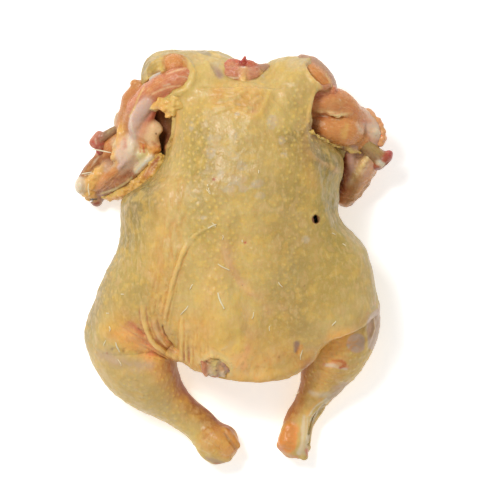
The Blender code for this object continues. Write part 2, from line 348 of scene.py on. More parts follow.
# A finished piece goes to its place in the CAD frame, rides on the bird and stands for its CAD node
def handIn(item, finish, node="carcass"):
    points = pointsOf(item) + birdShift
    points[:, 2] = np.maximum(points[:, 2], clearance)
    moveTo(item, points)
    item.data.shade_smooth()
    item.data.materials.clear()
    item.data.materials.append(finish)
    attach(item, "root")
    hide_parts(node)
    print(item.name, triangleCount(item), "triangles")
    return item


# Node trees: a wire wraps a socket, and an operator on it adds its Math node
class Wire:
    def __init__(self, tree, socket):
        self.tree, self.socket = tree, socket

    def maths(self, operation, first, second):
        return self.tree.node("ShaderNodeMath", {"operation": operation}, {0: first, 1: second})

    def __add__(self, other):
        return self.maths("ADD", self, other)

    def __radd__(self, other):
        return self.maths("ADD", other, self)

    def __sub__(self, other):
        return self.maths("SUBTRACT", self, other)

    def __rsub__(self, other):
        return self.maths("SUBTRACT", other, self)

    def __mul__(self, other):
        return self.maths("MULTIPLY", self, other)

    def __rmul__(self, other):
        return self.maths("MULTIPLY", other, self)


class Tree:
    def __init__(self, nodeTree):
        self.nodeTree = nodeTree
        nodeTree.nodes.clear()

    # Any node: its type, its settings first, then the values or wires of its sockets
    def node(self, kind, settings=None, values=None, out=0):
        made = self.nodeTree.nodes.new(kind)
        for key, value in (settings or {}).items():
            setattr(made, key, value)
        for key, value in (values or {}).items():
            if isinstance(value, Wire):
                self.nodeTree.links.new(value.socket, made.inputs[key])
            else:
                made.inputs[key].default_value = value
        return Wire(self, made.outputs[out]) if len(made.outputs) else made

    def place(self):
        return self.node("ShaderNodeTexCoord", out=3)  # Object coordinates

    def mix(self, factor, first, second):
        first, second = (c if isinstance(c, Wire) else (*seen(*c), 1) for c in (first, second))
        return self.node("ShaderNodeMix", {"data_type": "RGBA"}, {0: factor, 6: first, 7: second}, 2)

    def ramp(self, value, start, end, low=0.0, high=1.0):
        values = {0: value, 1: start, 2: end, 3: low, 4: high}
        return self.node("ShaderNodeMapRange", {"interpolation_type": "SMOOTHSTEP"}, values)

    def noise(self, place, size, detail):
        return self.node("ShaderNodeTexNoise", {}, {"Vector": place, "Scale": 1 / size, "Detail": detail})

    def attribute(self, name, out=0):
        return self.node("ShaderNodeAttribute", {"attribute_name": name}, {}, out)


def material(name, look, **fixed):
    made = bpy.data.materials.new(name)
    made.use_nodes = True
    tree = Tree(made.node_tree)
    colour, roughness, height = look(tree)
    bump = tree.node("ShaderNodeBump", {}, {"Height": height, "Distance": mm})
    values = {"Base Color": colour, "Roughness": roughness, "Normal": bump, **fixed}
    shader = tree.node("ShaderNodeBsdfPrincipled", {}, values)
    tree.node("ShaderNodeOutputMaterial", {}, {"Surface": shader})
    return made


# Geometry nodes: builds a tree with named inputs, sets them on a modifier and settles the result
def grown(item, name, inputs, build, values):
    nodeTree = bpy.data.node_groups.new(name, "GeometryNodeTree")
    face = nodeTree.interface
    face.new_socket("Geometry", in_out="INPUT", socket_type="NodeSocketGeometry")
    sockets = {key: face.new_socket(key, in_out="INPUT", socket_type=kind) for key, kind in inputs.items()}
    face.new_socket("Geometry", in_out="OUTPUT", socket_type="NodeSocketGeometry")
    tree = Tree(nodeTree)
    source = nodeTree.nodes.new("NodeGroupInput")
    given = {key: Wire(tree, source.outputs[key]) for key in ("Geometry", *inputs)}
    result = build(tree, given)
    result = tree.node("GeometryNodeRealizeInstances", {}, {"Geometry": result})
    result = tree.node("GeometryNodeSetMaterial", {}, {"Geometry": result, "Material": given["Material"]})
    tree.node("NodeGroupOutput", {}, {0: result})
    grower = item.modifiers.new(name, "NODES")
    grower.node_group = nodeTree
    for key, value in values.items():
        grower[sockets[key].identifier] = value
    return settled(item)


# The skin: trunk, legs and neck of the bird in one piece, in mm, seen from above with the head at +Y
skin = {
    "block": ((-134, -180, -10), (124, 152, 120)),
    "voxel": 1.2,
    "triangles": 192000,
    "thinBelow": 60,  # only faces turned down below this height are thinned
    "tableRounding": 5.0,
    # the trunk, tail to neck: distance along the back, left side, right side, back, breast
    "trunk": [
        (-100, -8, 36, 66, 52), (-90, -34, 46, 77, 34), (-65, -56, 58, 87, 8), (-35, -70, 69, 94, -2),
        (-5, -85, 73, 101, -6), (22, -88, 73, 106, -7), (32, -85, 74, 107, -7), (40, -74, 74, 107.5, -7),
        (50, -62, 76, 107.5, -6), (62, -56, 75, 107, -5), (76, -54, 64, 104.5, -3), (92, -52, 55, 98, 6),
        (104, -46, 48, 90, 18),
    ],
    "squareness": 2.35,
    # rounded masses of the body and then of the haunches: centre, radii, turn and blend
    "masses": [
        ((-14, -54, 66), (30, 44, 29), (7, 0, 0), 14),  # rump
        ((2, 92, 52), (56, 34, 46), 16),  # broad front of the breast
        ((-46, 116, 58), (26, 24, 34), 12),  # lobes in front of the shoulders
        ((-56, 122.5, 56), (16, 17, 28), 4),
        ((-20.5, 112, 52), (25, 28, 34), 12),
        ((26.5, 121.5, 62), (9, 8.4, 13), 5),
        ((42, 108, 54), (29, 28, 36), (0, 0, -8), 12),
    ],
    "haunches": [
        ((55, -50, 59), (39, 36, 30), (6, 14, -20), 12),
        ((73, -17, 50), (22, 26, 26), (0, 0, 18), 14),
    ],
    "leftThigh": [(-38, -12, 56, 38), (-59, -32, 50, 38), (-76, -53, 42, 33), (-86, -72, 34, 27)],
    "rightThigh": [(30, -14, 57, 38), (50, -30, 53, 37), (66, -45, 47, 34), (75, -57, 40, 28)],
    # the edge of skin along the belly, from the tail round to the right knee, and what lies clear below it
    "bellyEdge": [
        (-45, -85, 60, 2.6), (-36, -90, 65, 3), (-27, -93.5, 69, 2.6), (-8, -98.5, 71, 3),
        (6, -100.5, 70, 3.2), (20, -100.5, 68, 3.4), (34, -96, 66, 3.6), (44, -91, 64, 3.6),
        (50, -84, 64, 3.4), (56, -75, 63, 3.2), (70, -67, 61, 3), (86, -61, 56, 2.8), (97, -52, 50, 2.4),
    ],
    "below": [
        [(54, -108, 64, 13), (64, -96, 64, 13.5), (71, -86, 63, 14), (83, -81, 61, 14), (97, -75, 58, 14),
         (111, -64, 54, 14)],
        [(-120, -88, 36, 13), (-107, -95, 42, 13), (-92, -100, 46, 13.5), (-75, -101, 46, 14),
         (-60, -103.5, 48, 14), (-47, -104, 50, 13)],
    ],
    "undercut": ((2, -119, 43), (42, 27, 24)),
    "tailDish": ((-17.9, -96.4, 79.4), (10.6, 11.8, 8), (16, 0, 0)),
    "tailRim": [(-28.6, -89, 75.4, 1.8), (-26, -86.4, 79, 2), (-22.6, -84, 81.5, 2.1),
                (-18.5, -83.2, 82.5, 2.2), (-14.4, -85, 81, 2.2), (-10.6, -88.4, 78.5, 2.2),
                (-7.8, -92.6, 76, 2.1), (-6.6, -97.4, 73.5, 2)],
    "neckLip": [(-17.8, 119.4, 79.4, 1.3), (-14.4, 117, 81.6, 1.4), (-10.6, 117.4, 82.4, 1.5),
                (-6, 115.4, 83.4, 1.6), (0, 114.4, 84.4, 1.7), (7, 114.8, 83.6, 1.6),
                (12.6, 116.4, 81.4, 1.6), (16.6, 120.8, 77, 1.5), (20.2, 125, 72, 1.5)],
    "webs": [
        ([(-60, 104, 52, 12), (-62, 84, 42, 12), (-64, 64, 34, 12)], 8),  # to the wings
        ([(60, 100, 54, 13), (68, 84, 46, 12), (76, 68, 34, 8)], 6),
        ([(2, 92, 82, 17), (2, 101, 78, 15)], 6),  # over the neck
    ],
    # valley of the back, folds of loose skin and windows at the shoulders, laid over the flesh: path as x, y
    # and radius, its height over the flesh in radii, and blend
    "valley": [([(0, 12, 4), (-2, -8, 7), (0, -30, 8), (4, -48, 7), (7, -66, 4)], 0.72, 6)],
    "folds": [
        ([(-66, -62, 4), (-62, -74, 5), (-54, -81, 5), (-46, -84.5, 4)], -0.45, 3),
        ([(-38, -64, 2.5), (-40, -78, 3), (-41, -86, 2.6)], -0.45, 3),
    ],
    "windows": [
        ([(-48.5, 128.4, 8.2), (-46, 121.5, 10.2), (-56, 114.5, 9.4), (-68, 106, 8.5)], 0.1, 1.5),
        ([(-60, 128, 5), (-64.5, 121.5, 4.6)], 0.25, 1.5),
    ],
    # pockets beside the wings, the cut through the neck and the hole in the back
    "pockets": [
        ((-54.8, 82, 72), (8, 14.5, 15), 3),
        ((63, 124.5, 84), (15.4, 13, 17), (0, 20, 0), 2),
        ((65.6, 97, 82), (15, 15, 18), (0, 20, 0), 2),
        ((56, 82.4, 68), (10, 8.6, 16), 3),
    ],
    "neckGroove": [(-20, 131.5, 83, 3.6), (-16.5, 126.5, 85, 4.4), (-14, 122, 88, 4)],
    "neckCut": ((0.6, 123.4, 86.4), (15.4, 7.6, 8)),
    "hole": [
        [(55, 17.6, 112, 1.7), (54.9, 16.6, 80, 1.8)],
        [(55.7, 13.2, 112, 1.5), (55.4, 14.4, 80, 1.8)],
    ],
    "lumps": [(19, 0.8, 3), (7, 0.5, 4), (3.2, 0.16, 6)],
    "wander": [(5, 0.3, 15), (2.2, 0.15, 16)],  # of the drawn folds
    "ragged": [(6, 1.6, 32), (2.4, 0.7, 33)],  # edges of the stains
    # where the skin is modelled finely enough for narrow folds
    "fine": [
        [(-36, 6, 4), (-45, -20, 5), (-52, -46, 8), (-60, -66, 14), (-52, -80, 9), (-38, -80, 6)],
        [(-20, 104, 5), (0, 104, 15), (18, 102, 8)],
        [(-18, -92, 10)],
        [(55, 15, 6)],
    ],
    # skin torn open at the shoulders: the rolled edges left behind, as x, y and radius
    "tornEdges": [
        [(-70.5, 120.5, 1), (-66.6, 127, 1), (-60, 132.4, 0.9), (-52, 135.8, 0.9), (-45, 135.8, 0.9),
         (-39, 133.2, 0.8), (-35.2, 128.2, 0.8), (-33.7, 122, 0.8), (-35.2, 114.6, 0.9), (-40, 109.6, 1.1),
         (-46, 107, 1.4)],
        [(52, 134, 0.9), (49.4, 131.4, 1), (46.6, 128, 1.3), (49.6, 121, 1.7), (54, 115, 2), (60.4, 111.2, 2),
         (65.6, 113.6, 1.4)],
        [(54.4, 109, 1.1), (52.4, 103, 1.2), (50.4, 94, 1.3), (49, 87, 1.4), (46, 81, 1.6), (43, 78, 1.4)],
        [(-48.4, 92, 1.3), (-48.6, 84, 1.3), (-50, 76, 1.3), (-54, 68, 1.4), (-58.4, 62, 1.3)],
    ],
}


def bodyFlesh():
    flesh = Flesh(*skin["block"], skin["voxel"])
    flesh.add(barrel(skin["trunk"], skin["squareness"]), 1)
    for *form, blend in skin["masses"]:
        flesh.add(egg(*form), blend)
    for thigh in ("leftThigh", "rightThigh"):
        flesh.add(limb(skin[thigh], 10), 14)
    for *form, blend in skin["haunches"]:
        flesh.add(egg(*form), blend)
    for path in skin["below"]:
        flesh.carve(limb(path, tall=2.6), 2.5)
    flesh.carve(egg(*skin["undercut"]), 7)
    flesh.add(limb(skin["bellyEdge"]), 7)
    flesh.carve(egg(*skin["tailDish"]), 1.5)
    flesh.add(limb(skin["tailRim"]), 2)
    for path, blend in skin["webs"]:
        flesh.add(limb(path), blend)
    flesh.lay(skin["valley"], flesh.carve)
    flesh.lay(skin["folds"], flesh.add)
    return flesh


# Windows in the skin at the shoulders, pockets beside the wings, the cut neck and the body hole
def openSkin(flesh):
    edges = [flesh.draped(edge, -0.5) for edge in skin["tornEdges"]]
    flesh.lay(skin["windows"], flesh.carve)
    for *form, blend in skin["pockets"]:
        flesh.carve(egg(*form), blend)
    flesh.carve(limb(skin["neckGroove"]), 2)
    flesh.carve(egg(*skin["neckCut"]), 2)
    flesh.add(limb(skin["neckLip"]), 2)
    for edge in edges:
        flesh.add(edge, 2)
    for path in skin["hole"]:
        flesh.carve(limb(path), 0.8)
    flesh.restOnTable(skin["tableRounding"])
    return flesh


# The drumsticks, each with its hock: they end inside the thigh, under the edge of the body's skin
legs = {
    "left_leg": {
        "block": ((-122, -180, -6), (12, -38, 70)),
        "voxel": 0.85,
        "triangles": 60000,
        "bone": [
            (-86, -64, 31, 28), (-86, -72, 31, 28.6), (-77, -89, 29, 28.4), (-68, -104, 24, 23.4),
            (-57, -116, 19, 17.6), (-43, -127.6, 15.4, 13.4), (-29.6, -138.4, 14.4, 12.8),
            (-20.5, -147.6, 14.2, 13.9), (-15, -151, 14.2, 14.6),
        ],
        # laid over the flesh as on the body
        "added": [
            ([(-24, -143, 5), (-14, -150, 6), (-9, -156, 5.4)], -0.6, 3),
            ([(-11, -141.4, 2.4), (-6.4, -146.6, 3), (-2.4, -152.4, 3.2)], -0.7, 3),
            ([(-28.6, -155.6, 3.6), (-24.6, -160.2, 3.4), (-17, -163.8, 3), (-9, -161.6, 3)], -0.6, 3),
        ],
        "taken": [
            ([(-11.4, -141.6, 0.7), (-6.8, -148.4, 1.1), (-2.4, -157, 1.2)], 0.0, 1),
            ([(-25, -147, 0.4), (-19, -151.6, 0.7), (-12, -157, 0.4)], 0.2, 1),
        ],
    },
    "right_leg": {
        "block": ((18, -180, -6), (112, -30, 66)),
        "voxel": 0.85,
        "triangles": 60000,
        "bone": [
            (77, -52, 31, 27.2), (76.4, -64, 31, 27.4), (71, -79.6, 28.8, 25.4), (64.2, -95.4, 23.4, 18.8),
            (58, -109.6, 17.8, 13.9), (50.6, -123.6, 13.8, 11.6), (44.6, -136, 12.2, 11.3),
            (41.3, -150, 13, 12.4),
        ],
        "added": [
            ([(36, -141, 5), (35, -149, 6)], -0.55, 3),
            ([(63.4, -119, 1.2), (58.8, -125, 1.8), (54.8, -132, 1.9), (52.2, -142, 1.8), (50.8, -151, 1.6)],
             -0.45, 2),
            ([(46, -156, 3.4), (47.6, -160.6, 2.8)], -0.6, 2.5),
            ([(30, -153, 2.6), (36, -158, 3), (43, -160, 2.6)], -0.6, 2),
            ([(98.1, -57.4, 0.9), (99.4, -65, 0.9), (96.4, -71.9, 0.9), (93, -73.6, 0.8)], -0.7, 2.5),
        ],
        "taken": [
            ([(55.5, -132, 0.5), (53.4, -138, 1.1), (51.6, -146, 1.1), (51, -153, 0.8)], 0.2, 1),
            ([(46.8, -132, 0.4), (46, -142, 0.6), (45.4, -152, 0.5)], 0.3, 1),
        ],
    },
}


def legFlesh(plan):
    flesh = Flesh(*plan["block"], plan["voxel"])
    flesh.add(limb(plan["bone"], 8), 1)
    flesh.lay(plan["added"], flesh.add)
    flesh.lay(plan["taken"], flesh.carve)
    flesh.restOnTable(skin["tableRounding"])
    return flesh


# Halves the edges of a mesh where paths cover it from above
def refined(item, paths):
    points, normals = pointsOf(item), normalsOf(item)
    inside = np.zeros(len(points), bool)
    for path in paths:
        inside |= (covered(points, path, 1) > 0.5) & (normals[:, 2] > 0.05)
    fine = bmesh.new()
    fine.from_mesh(item.data)
    edges = [edge for edge in fine.edges if inside[edge.verts[0].index] and inside[edge.verts[1].index]]
    bmesh.ops.subdivide_edges(fine, edges=edges, cuts=1, use_grid_fill=True)
    fine.to_mesh(item.data)
    fine.free()


# Fine wrinkles: where, how strong, their direction in degrees from the length of the bird, or the point
# that they spread from, then spacing, length and depth in mm
wrinkles = [
    {"where": [(-62, 52, 9), (-74, 22, 12), (-78, -8, 13), (-70, -38, 10)], "soft": 16, "turn": 6,
     "space": 3.4, "run": 30, "depth": 0.5, "valley": "olive", "strength": 0.3},
    {"where": [(-44, 40, 5), (-48, 5, 8), (-56, -30, 9), (-62, -50, 8)], "soft": 14, "turn": -8, "space": 2.8,
     "run": 40, "depth": 0.8, "valley": "amber"},
    {"where": [(-30, -62, 6), (-30, -88, 10)], "soft": 10, "turn": 2, "space": 3.0, "run": 22, "depth": 0.6,
     "valley": "amber"},
    {"where": [(24, 118, 8), (30, 96, 9)], "soft": 12, "turn": 30, "space": 4.2, "run": 18, "depth": 0.4,
     "valley": "straw", "strength": 0.3},
    {"where": [(-82, -66, 6), (-72, -75, 8), (-62, -83, 5), (-53, -87, 3)], "soft": 8, "from": (-26, -98),
     "space": 0.045, "run": 26, "depth": 0.7, "valley": "coral", "strength": 0.38},
    {"where": [(-14, 106, 6), (0, 102, 9), (12, 103, 7)], "soft": 10, "turn": 74, "space": 3.2, "run": 9,
     "depth": 0.5, "valley": "amber", "strength": 0.22},
    {"where": [(0, -92, 8), (22, -92, 10), (40, -86, 9)], "soft": 12, "from": (18, -40), "space": 0.06,
     "run": 14, "depth": 0.4, "valley": "amber"},
    {"where": [(64, 60, 8), (66, 36, 12), (68, 8, 10)], "soft": 14, "turn": 12, "space": 6, "run": 34,
     "depth": 0.5, "valley": "olive", "strength": 0.3},
    {"where": [(78, -78, 12), (66, -98, 12)], "soft": 12, "turn": 78, "space": 3.0, "run": 12, "depth": 0.25,
     "valley": "amber"},
    {"where": [(-84, -100, 14), (-62, -116, 10)], "soft": 12, "turn": 62, "space": 3.4, "run": 10,
     "depth": 0.2, "valley": "straw"},
    {"where": [(36, -144, 5), (36, -152, 5)], "soft": 6, "turn": 80, "space": 1.8, "run": 8, "depth": 0.4,
     "valley": "orange"},
    {"where": [(-24, -146, 6), (-12, -154, 8)], "soft": 6, "turn": -40, "space": 2.2, "run": 14, "depth": 0.4,
     "valley": "orange"},
]


def creases(points, wrinkle, seed):
    warp = 1.2 * lumps(points, 11, seed + 5)
    if "from" in wrinkle:
        offset = points[:, :2] - wrinkle["from"]
        across = np.arctan2(offset[:, 1], offset[:, 0]) / wrinkle["space"] + 0.25 * warp
        along = np.hypot(*offset.T) / wrinkle["run"]
        frame = np.column_stack([across, along, points[:, 2] / wrinkle["run"]])
    else:
        turn = math.radians(wrinkle["turn"])
        across = points[:, 0] * math.cos(turn) + points[:, 1] * math.sin(turn) + warp
        along = points[:, 1] * math.cos(turn) - points[:, 0] * math.sin(turn)
        frame = np.column_stack([across, along * wrinkle["space"] / wrinkle["run"], points[:, 2] * 0.8])
        frame /= wrinkle["space"]
    coarse, fine = lumps(frame, 1.0, seed), lumps(frame * 2.1, 1.0, seed + 1)
    return (1 - fade(np.abs(coarse), 0, 0.42)) + 0.4 * (1 - fade(np.abs(fine), 0, 0.4))


# Broad dents and swellings of the skin: path, width of the edge and depth
dents = [
    ([(-18.5, 11.1, 0.6)], 4.0, 0.8),
    ([(-92.8, -80.3, 0.8)], 3.5, 1.4),
    ([(-85.3, -81, 0.8)], 3.5, 1.4),
    ([(43, -75, 1.2), (42, -82, 1)], 4.0, 1.4),
    ([(85.4, -76.2, 6)], 3.0, 0.7),
    ([(99, -58, 3), (97, -68, 4)], 3.0, 0.6),
    ([(62.9, -123.6, 1.2), (57, -130, 1.6), (54, -138, 1.8), (52, -152, 1.4)], 3.0, 3.0),
    ([(44.4, 85, 1), (54, 54, 2), (62, 15, 2), (74, 2, 1)], 14.0, -2.4),
    ([(60, 72, 4), (67, 48, 5), (70, 24, 4)], 14.0, 1.6),
    ([(-55.5, 66.6, 0.3), (-62, 30, 1), (-66.6, 7.4, 0.5)], 9.0, -1.2),
    ([(24, 120, 3), (26, 104, 4), (22, 92, 3)], 10.0, 1.6),
]
# Drawn folds and cracks: path seen from above, half width at its ends and height in mm, shades of the crest
# and of the edges. The edge shade runs along both feet of a fold: partly the skin's own reddish lines, partly
# painted shade, most of all the olive edge. Cracks have a height below zero.
strokes = [
    ([(-17.3, 11.1), (-24.1, 8.8), (-31.6, 4.3), (-36.2, -0.2)], (1.0, 1.6), 0.8, "cream", "olive"),
    ([(-36.6, 1), (-38.4, -3), (-41.1, -8), (-43.7, -14.6), (-46.4, -22.9), (-49, -31.2), (-50.7, -38.7),
      (-52.4, -47), (-54.3, -55.4), (-55, -62.9)], (2.0, 1.5), 1.4, "fold", "amber"),
    ([(-47.2, -36), (-49.6, -48), (-51, -58), (-51.8, -66)], (1.4, 1.4), 0.7, "straw", None),
    ([(-53.6, -34), (-56, -46), (-57.6, -56)], (1.4, 1.2), 0.6, "apricot", None),
    ([(-71.6, -44), (-70.7, -53.9), (-69.7, -60.6), (-68, -66.7), (-65.2, -72.2), (-61, -77.2), (-55.6, -81),
      (-50, -84), (-44.6, -87.4)], (1.9, 2.2), 1.6, "fold", "coral"),
    ([(-63.6, -55), (-61.9, -62.2), (-60, -67.6), (-57, -73), (-53, -77.6), (-48, -81.6), (-45, -84.6)],
     (1.9, 2.2), 1.5, "peachy", "coral"),
    ([(-66.8, -62), (-64.4, -69.7), (-60.9, -74.4), (-56.2, -78.4), (-50.5, -82)], (0.6, 0.6), -1.2, "rust",
     None),
    ([(-57, -60), (-55.8, -66.7), (-53.2, -71.6), (-50, -76), (-48, -80)], (0.5, 0.7), -1.6, "brick", None),
    ([(-75, -64.4), (-72, -68), (-69.4, -70.8)], (0.6, 1.0), -1.6, "coral", None),
    ([(-72, -73), (-67, -77.6)], (0.5, 0.8), -1.0, "coral", None),
    ([(-64, -82), (-60, -84.6), (-54, -87)], (0.6, 0.7), -1.0, "coral", None),
    ([(-42.4, -54), (-42.8, -64.4), (-43.2, -73.5), (-43.4, -83.3), (-42.6, -91)], (1.3, 1.6), 1.1, "fold",
     "amber"),
    ([(-40.7, -67), (-41.1, -76.5), (-41.2, -90)], (0.6, 0.7), -0.7, "coral", None),
    ([(-39.2, -74), (-39.4, -90)], (1.0, 1.1), 0.8, "fold", None),
    ([(-37.7, -77), (-37.6, -91)], (0.6, 0.7), -0.7, "coral", None),
    ([(-35.8, -78), (-35.6, -91)], (0.9, 1.0), 0.6, "fold", None),
    ([(-34, -70), (-34.4, -80), (-34.2, -92)], (0.6, 0.7), -0.6, "amber", None),
    ([(-47.5, -62), (-47, -74), (-45.6, -81)], (1.6, 1.6), 0.6, "straw", None),
    ([(50.6, -128), (49.6, -138), (49, -150)], (0.8, 0.8), 0.5, "pearl", None),
    ([(-13.2, 112.4), (-7.3, 112), (-0.4, 112.6)], (2.0, 2.0), 0.5, "cream", None),
    ([(-13, 108), (-4.7, 108.2), (-0.4, 110.2), (3, 113)], (1.5, 1.5), 0.8, "fold", None),
    ([(-14, 104.4), (-4.7, 105), (0.4, 107), (5, 110)], (1.5, 1.5), 0.8, "fold", None),
    ([(-18, 100.2), (-9.8, 101.4), (-3, 102.9), (1.8, 105.4)], (1.6, 1.6), 0.8, "cream", None),
    ([(-22, 95.6), (-14.1, 96.9), (-7.3, 99.2), (-2.1, 100.1)], (1.6, 1.6), 0.7, "fold", None),
    ([(-22, 91.4), (-14.9, 93.8), (-7.3, 96.1), (-2, 97)], (1.6, 1.6), 0.7, "cream", None),
    ([(6, 103), (10, 107), (13, 111)], (1.9, 1.9), 0.7, "fold", None),
    ([(8, 99.4), (12.6, 102), (16.6, 104)], (1.8, 1.8), 0.8, "fold", None),
    ([(3.4, 95.4), (9.4, 96)], (1.9, 1.9), 0.7, "cream", None),
    ([(22.5, 113.7), (22.3, 108.2), (19.9, 101.4), (16.9, 95.5), (13.1, 91.2), (8.9, 89.1), (3.8, 88.7)],
     (2.4, 2.6), 0.9, "yolk", None),
    ([(-46.5, 98), (-45.5, 90), (-46.4, 78), (-51, 68)], (1.5, 1.5), 0.7, "apricot", None),
    ([(48, 67), (52, 61), (60, 57), (68, 53), (74, 48)], (1.8, 2.4), 0.7, "apricot", None),
    ([(-5.2, 80), (-5.6, 70), (-5.2, 59)], (1.6, 1.6), 0.3, "cream", None),
    ([(-13, -1), (-9, -14), (-2, -27), (5, -36), (13, -42)], (3.4, 2.6), 0.5, "peachy", None),
    ([(-3, -34), (-1.6, -50), (-0.6, -66), (-2, -84)], (3.4, 3.0), 0.5, "yolk", None),
    ([(-70, 121.6), (-66, 127), (-60.5, 130.6), (-56.4, 135)], (0.7, 0.7), 0.5, "butter", None),
    ([(-66.4, 121), (-62, 126.6), (-57, 129.8)], (1.0, 1.2), 0.8, "yolk", None),
    ([(-63, 121.6), (-59.4, 122.6)], (0.7, 0.6), -1.0, "rust", None),
    ([(-58, 134.4), (-55, 136)], (0.6, 0.6), -0.8, "rust", None),
    ([(-25.4, 133.4), (-23, 128.6), (-20.6, 124), (-18.6, 119)], (1.0, 1.2), 0.8, "cream", None),
    ([(37, -16), (28, -8), (16, -4)], (1.6, 1.6), 0.3, "straw", None),
]


def drawnFolds(points):
    height, ink = np.zeros(len(points)), np.zeros(len(points))
    shade = np.zeros((len(points), 3))
    wander, spread, reach = heaped(points, skin["wander"]), points[:, :2], 9
    for path, (start, end), lift, crest, edge in strokes:
        rows = np.array([(x, y, 0) for x, y in path], float)
        low, high = rows[:, :2].min(axis=0) - reach, rows[:, :2].max(axis=0) + reach
        spot = np.all((spread > low) & (spread < high), axis=1)
        away, along = planDistance(points[spot], rows)
        width = start + (end - start) * along
        away = np.maximum(away + wander[spot], 0) / width
        taper = fade(along, 0, 0.16) * fade(1 - along, 0, 0.12) * fade(points[spot, 2], 8, 16)
        steep = 3.2 if edge else 2.0
        ridge, sides = np.exp(-(away**steep)), np.exp(-(((away - 1.3) * width / 0.55) ** 2))
        height[spot] += taper * lift * (ridge - (0.3 * sides if edge else 0))
        for share, name in ((0.8 * ridge * taper, crest), (0.7 * sides * taper, edge)):
            if name:
                most = share > ink[spot]
                shade[np.flatnonzero(spot)[most]] = shades[name]
                ink[spot] = np.maximum(ink[spot], share)
    return height, ink, shade


def skinRelief(item):
    points, normals = pointsOf(item), normalsOf(item)
    facing = fade(normals[:, 2], -0.35, 0.2)
    drawn, ink, shade = drawnFolds(points)
    height = heaped(points, skin["lumps"]) + facing * drawn
    furrow = np.zeros(len(points))
    for seed, wrinkle in enumerate(wrinkles):
        share = facing * covered(points, wrinkle["where"], wrinkle["soft"], 4 * lumps(points, 9, 40 + seed))
        found = share * creases(points, wrinkle, 11 * seed + 60) * (1 - 0.8 * np.minimum(ink, 1))
        height -= wrinkle["depth"] * found
        found *= wrinkle.get("strength", 0.45)
        most = found > ink
        shade[most] = shades[wrinkle["valley"]]
        ink, furrow = np.maximum(ink, found), np.maximum(furrow, found)
    for path, edge, depth in dents:
        height -= facing * depth * covered(points, path, edge, 0.5 * lumps(points, 3, 9))
    moveTo(item, points + normals * height[:, None])
    store(item, "ink", np.minimum(facing * ink, 0.9))
    store(item, "shade", shade)

    def over(kind):
        return sum(covered(points, path, soft) for soft, path in follicles[kind])

    bumpy = 0.5 + 0.5 * np.minimum(over("strong"), 1) + heaped(points, follicles["patches"])
    bumpy = bumpy - 0.75 * over("faint") - over("bare") - 1.2 * np.minimum(furrow + 0.6 * ink, 1)
    store(item, "bumpy", np.clip(bumpy, 0, 1))


# Follicles: small raised dots scattered over the skin, kept as an attribute for the colour as well. Sizes are
# in metres, and the softness and paths of where they are strong, faint or missing are in mm
follicles = {
    "Spacing": 0.0042, "Radius": 0.002, "Height": 0.0006, "Seed": 7,
    "density": 200000.0,
    "patches": [(14, 0.3, 77)],
    "strong": [
        (12, [(38, 92, 16), (44, 50, 14)]),
        (12, [(-34, 92, 10), (-34, 50, 12)]),
        (12, [(-20, 20, 14), (-14, -24, 14)]),
        (12, [(-70, -108, 16), (-50, -126, 12)]),
        (12, [(76, -88, 14), (58, -106, 10)]),
    ],
    "faint": [
        (20, [(70, -20, 26), (72, -48, 20)]),
        (14, [(0, -119, 40)]),
        (8, [(-30, 118, 60, 12), (2, 128, 60, 14), (50, 120, 60, 16)]),
    ],
    "bare": [(10, [(-14, -153, 12)]), (16, [(42, -150, 18)])],
}


def follicleTree(tree, given):
    scatter = {"Mesh": given["Geometry"], "Distance Min": given["Spacing"],
               "Density Max": follicles["density"], "Seed": given["Seed"]}
    dots = tree.node("GeometryNodeDistributePointsOnFaces", {"distribute_method": "POISSON"}, scatter)
    near = tree.node("GeometryNodeProximity", {"target_element": "POINTS"}, {0: dots}, 1)
    bumpy = tree.node("GeometryNodeInputNamedAttribute", {"data_type": "FLOAT"}, {"Name": "bumpy"})
    dome = tree.node("ShaderNodeMapRange", {"interpolation_type": "SMOOTHSTEP"},
                     {0: near, 1: given["Radius"], 2: 0.0, 3: 0.0, 4: 1.0}) * bumpy
    marked = tree.node("GeometryNodeStoreNamedAttribute", {"data_type": "FLOAT", "domain": "POINT"},
                       {"Geometry": given["Geometry"], "Name": "follicle", "Value": dome})
    lift = tree.node("ShaderNodeVectorMath", {"operation": "SCALE"},
                     {0: tree.node("GeometryNodeInputNormal"), "Scale": dome * given["Height"]})
    return tree.node("GeometryNodeSetPosition", {}, {"Geometry": marked, "Offset": lift})


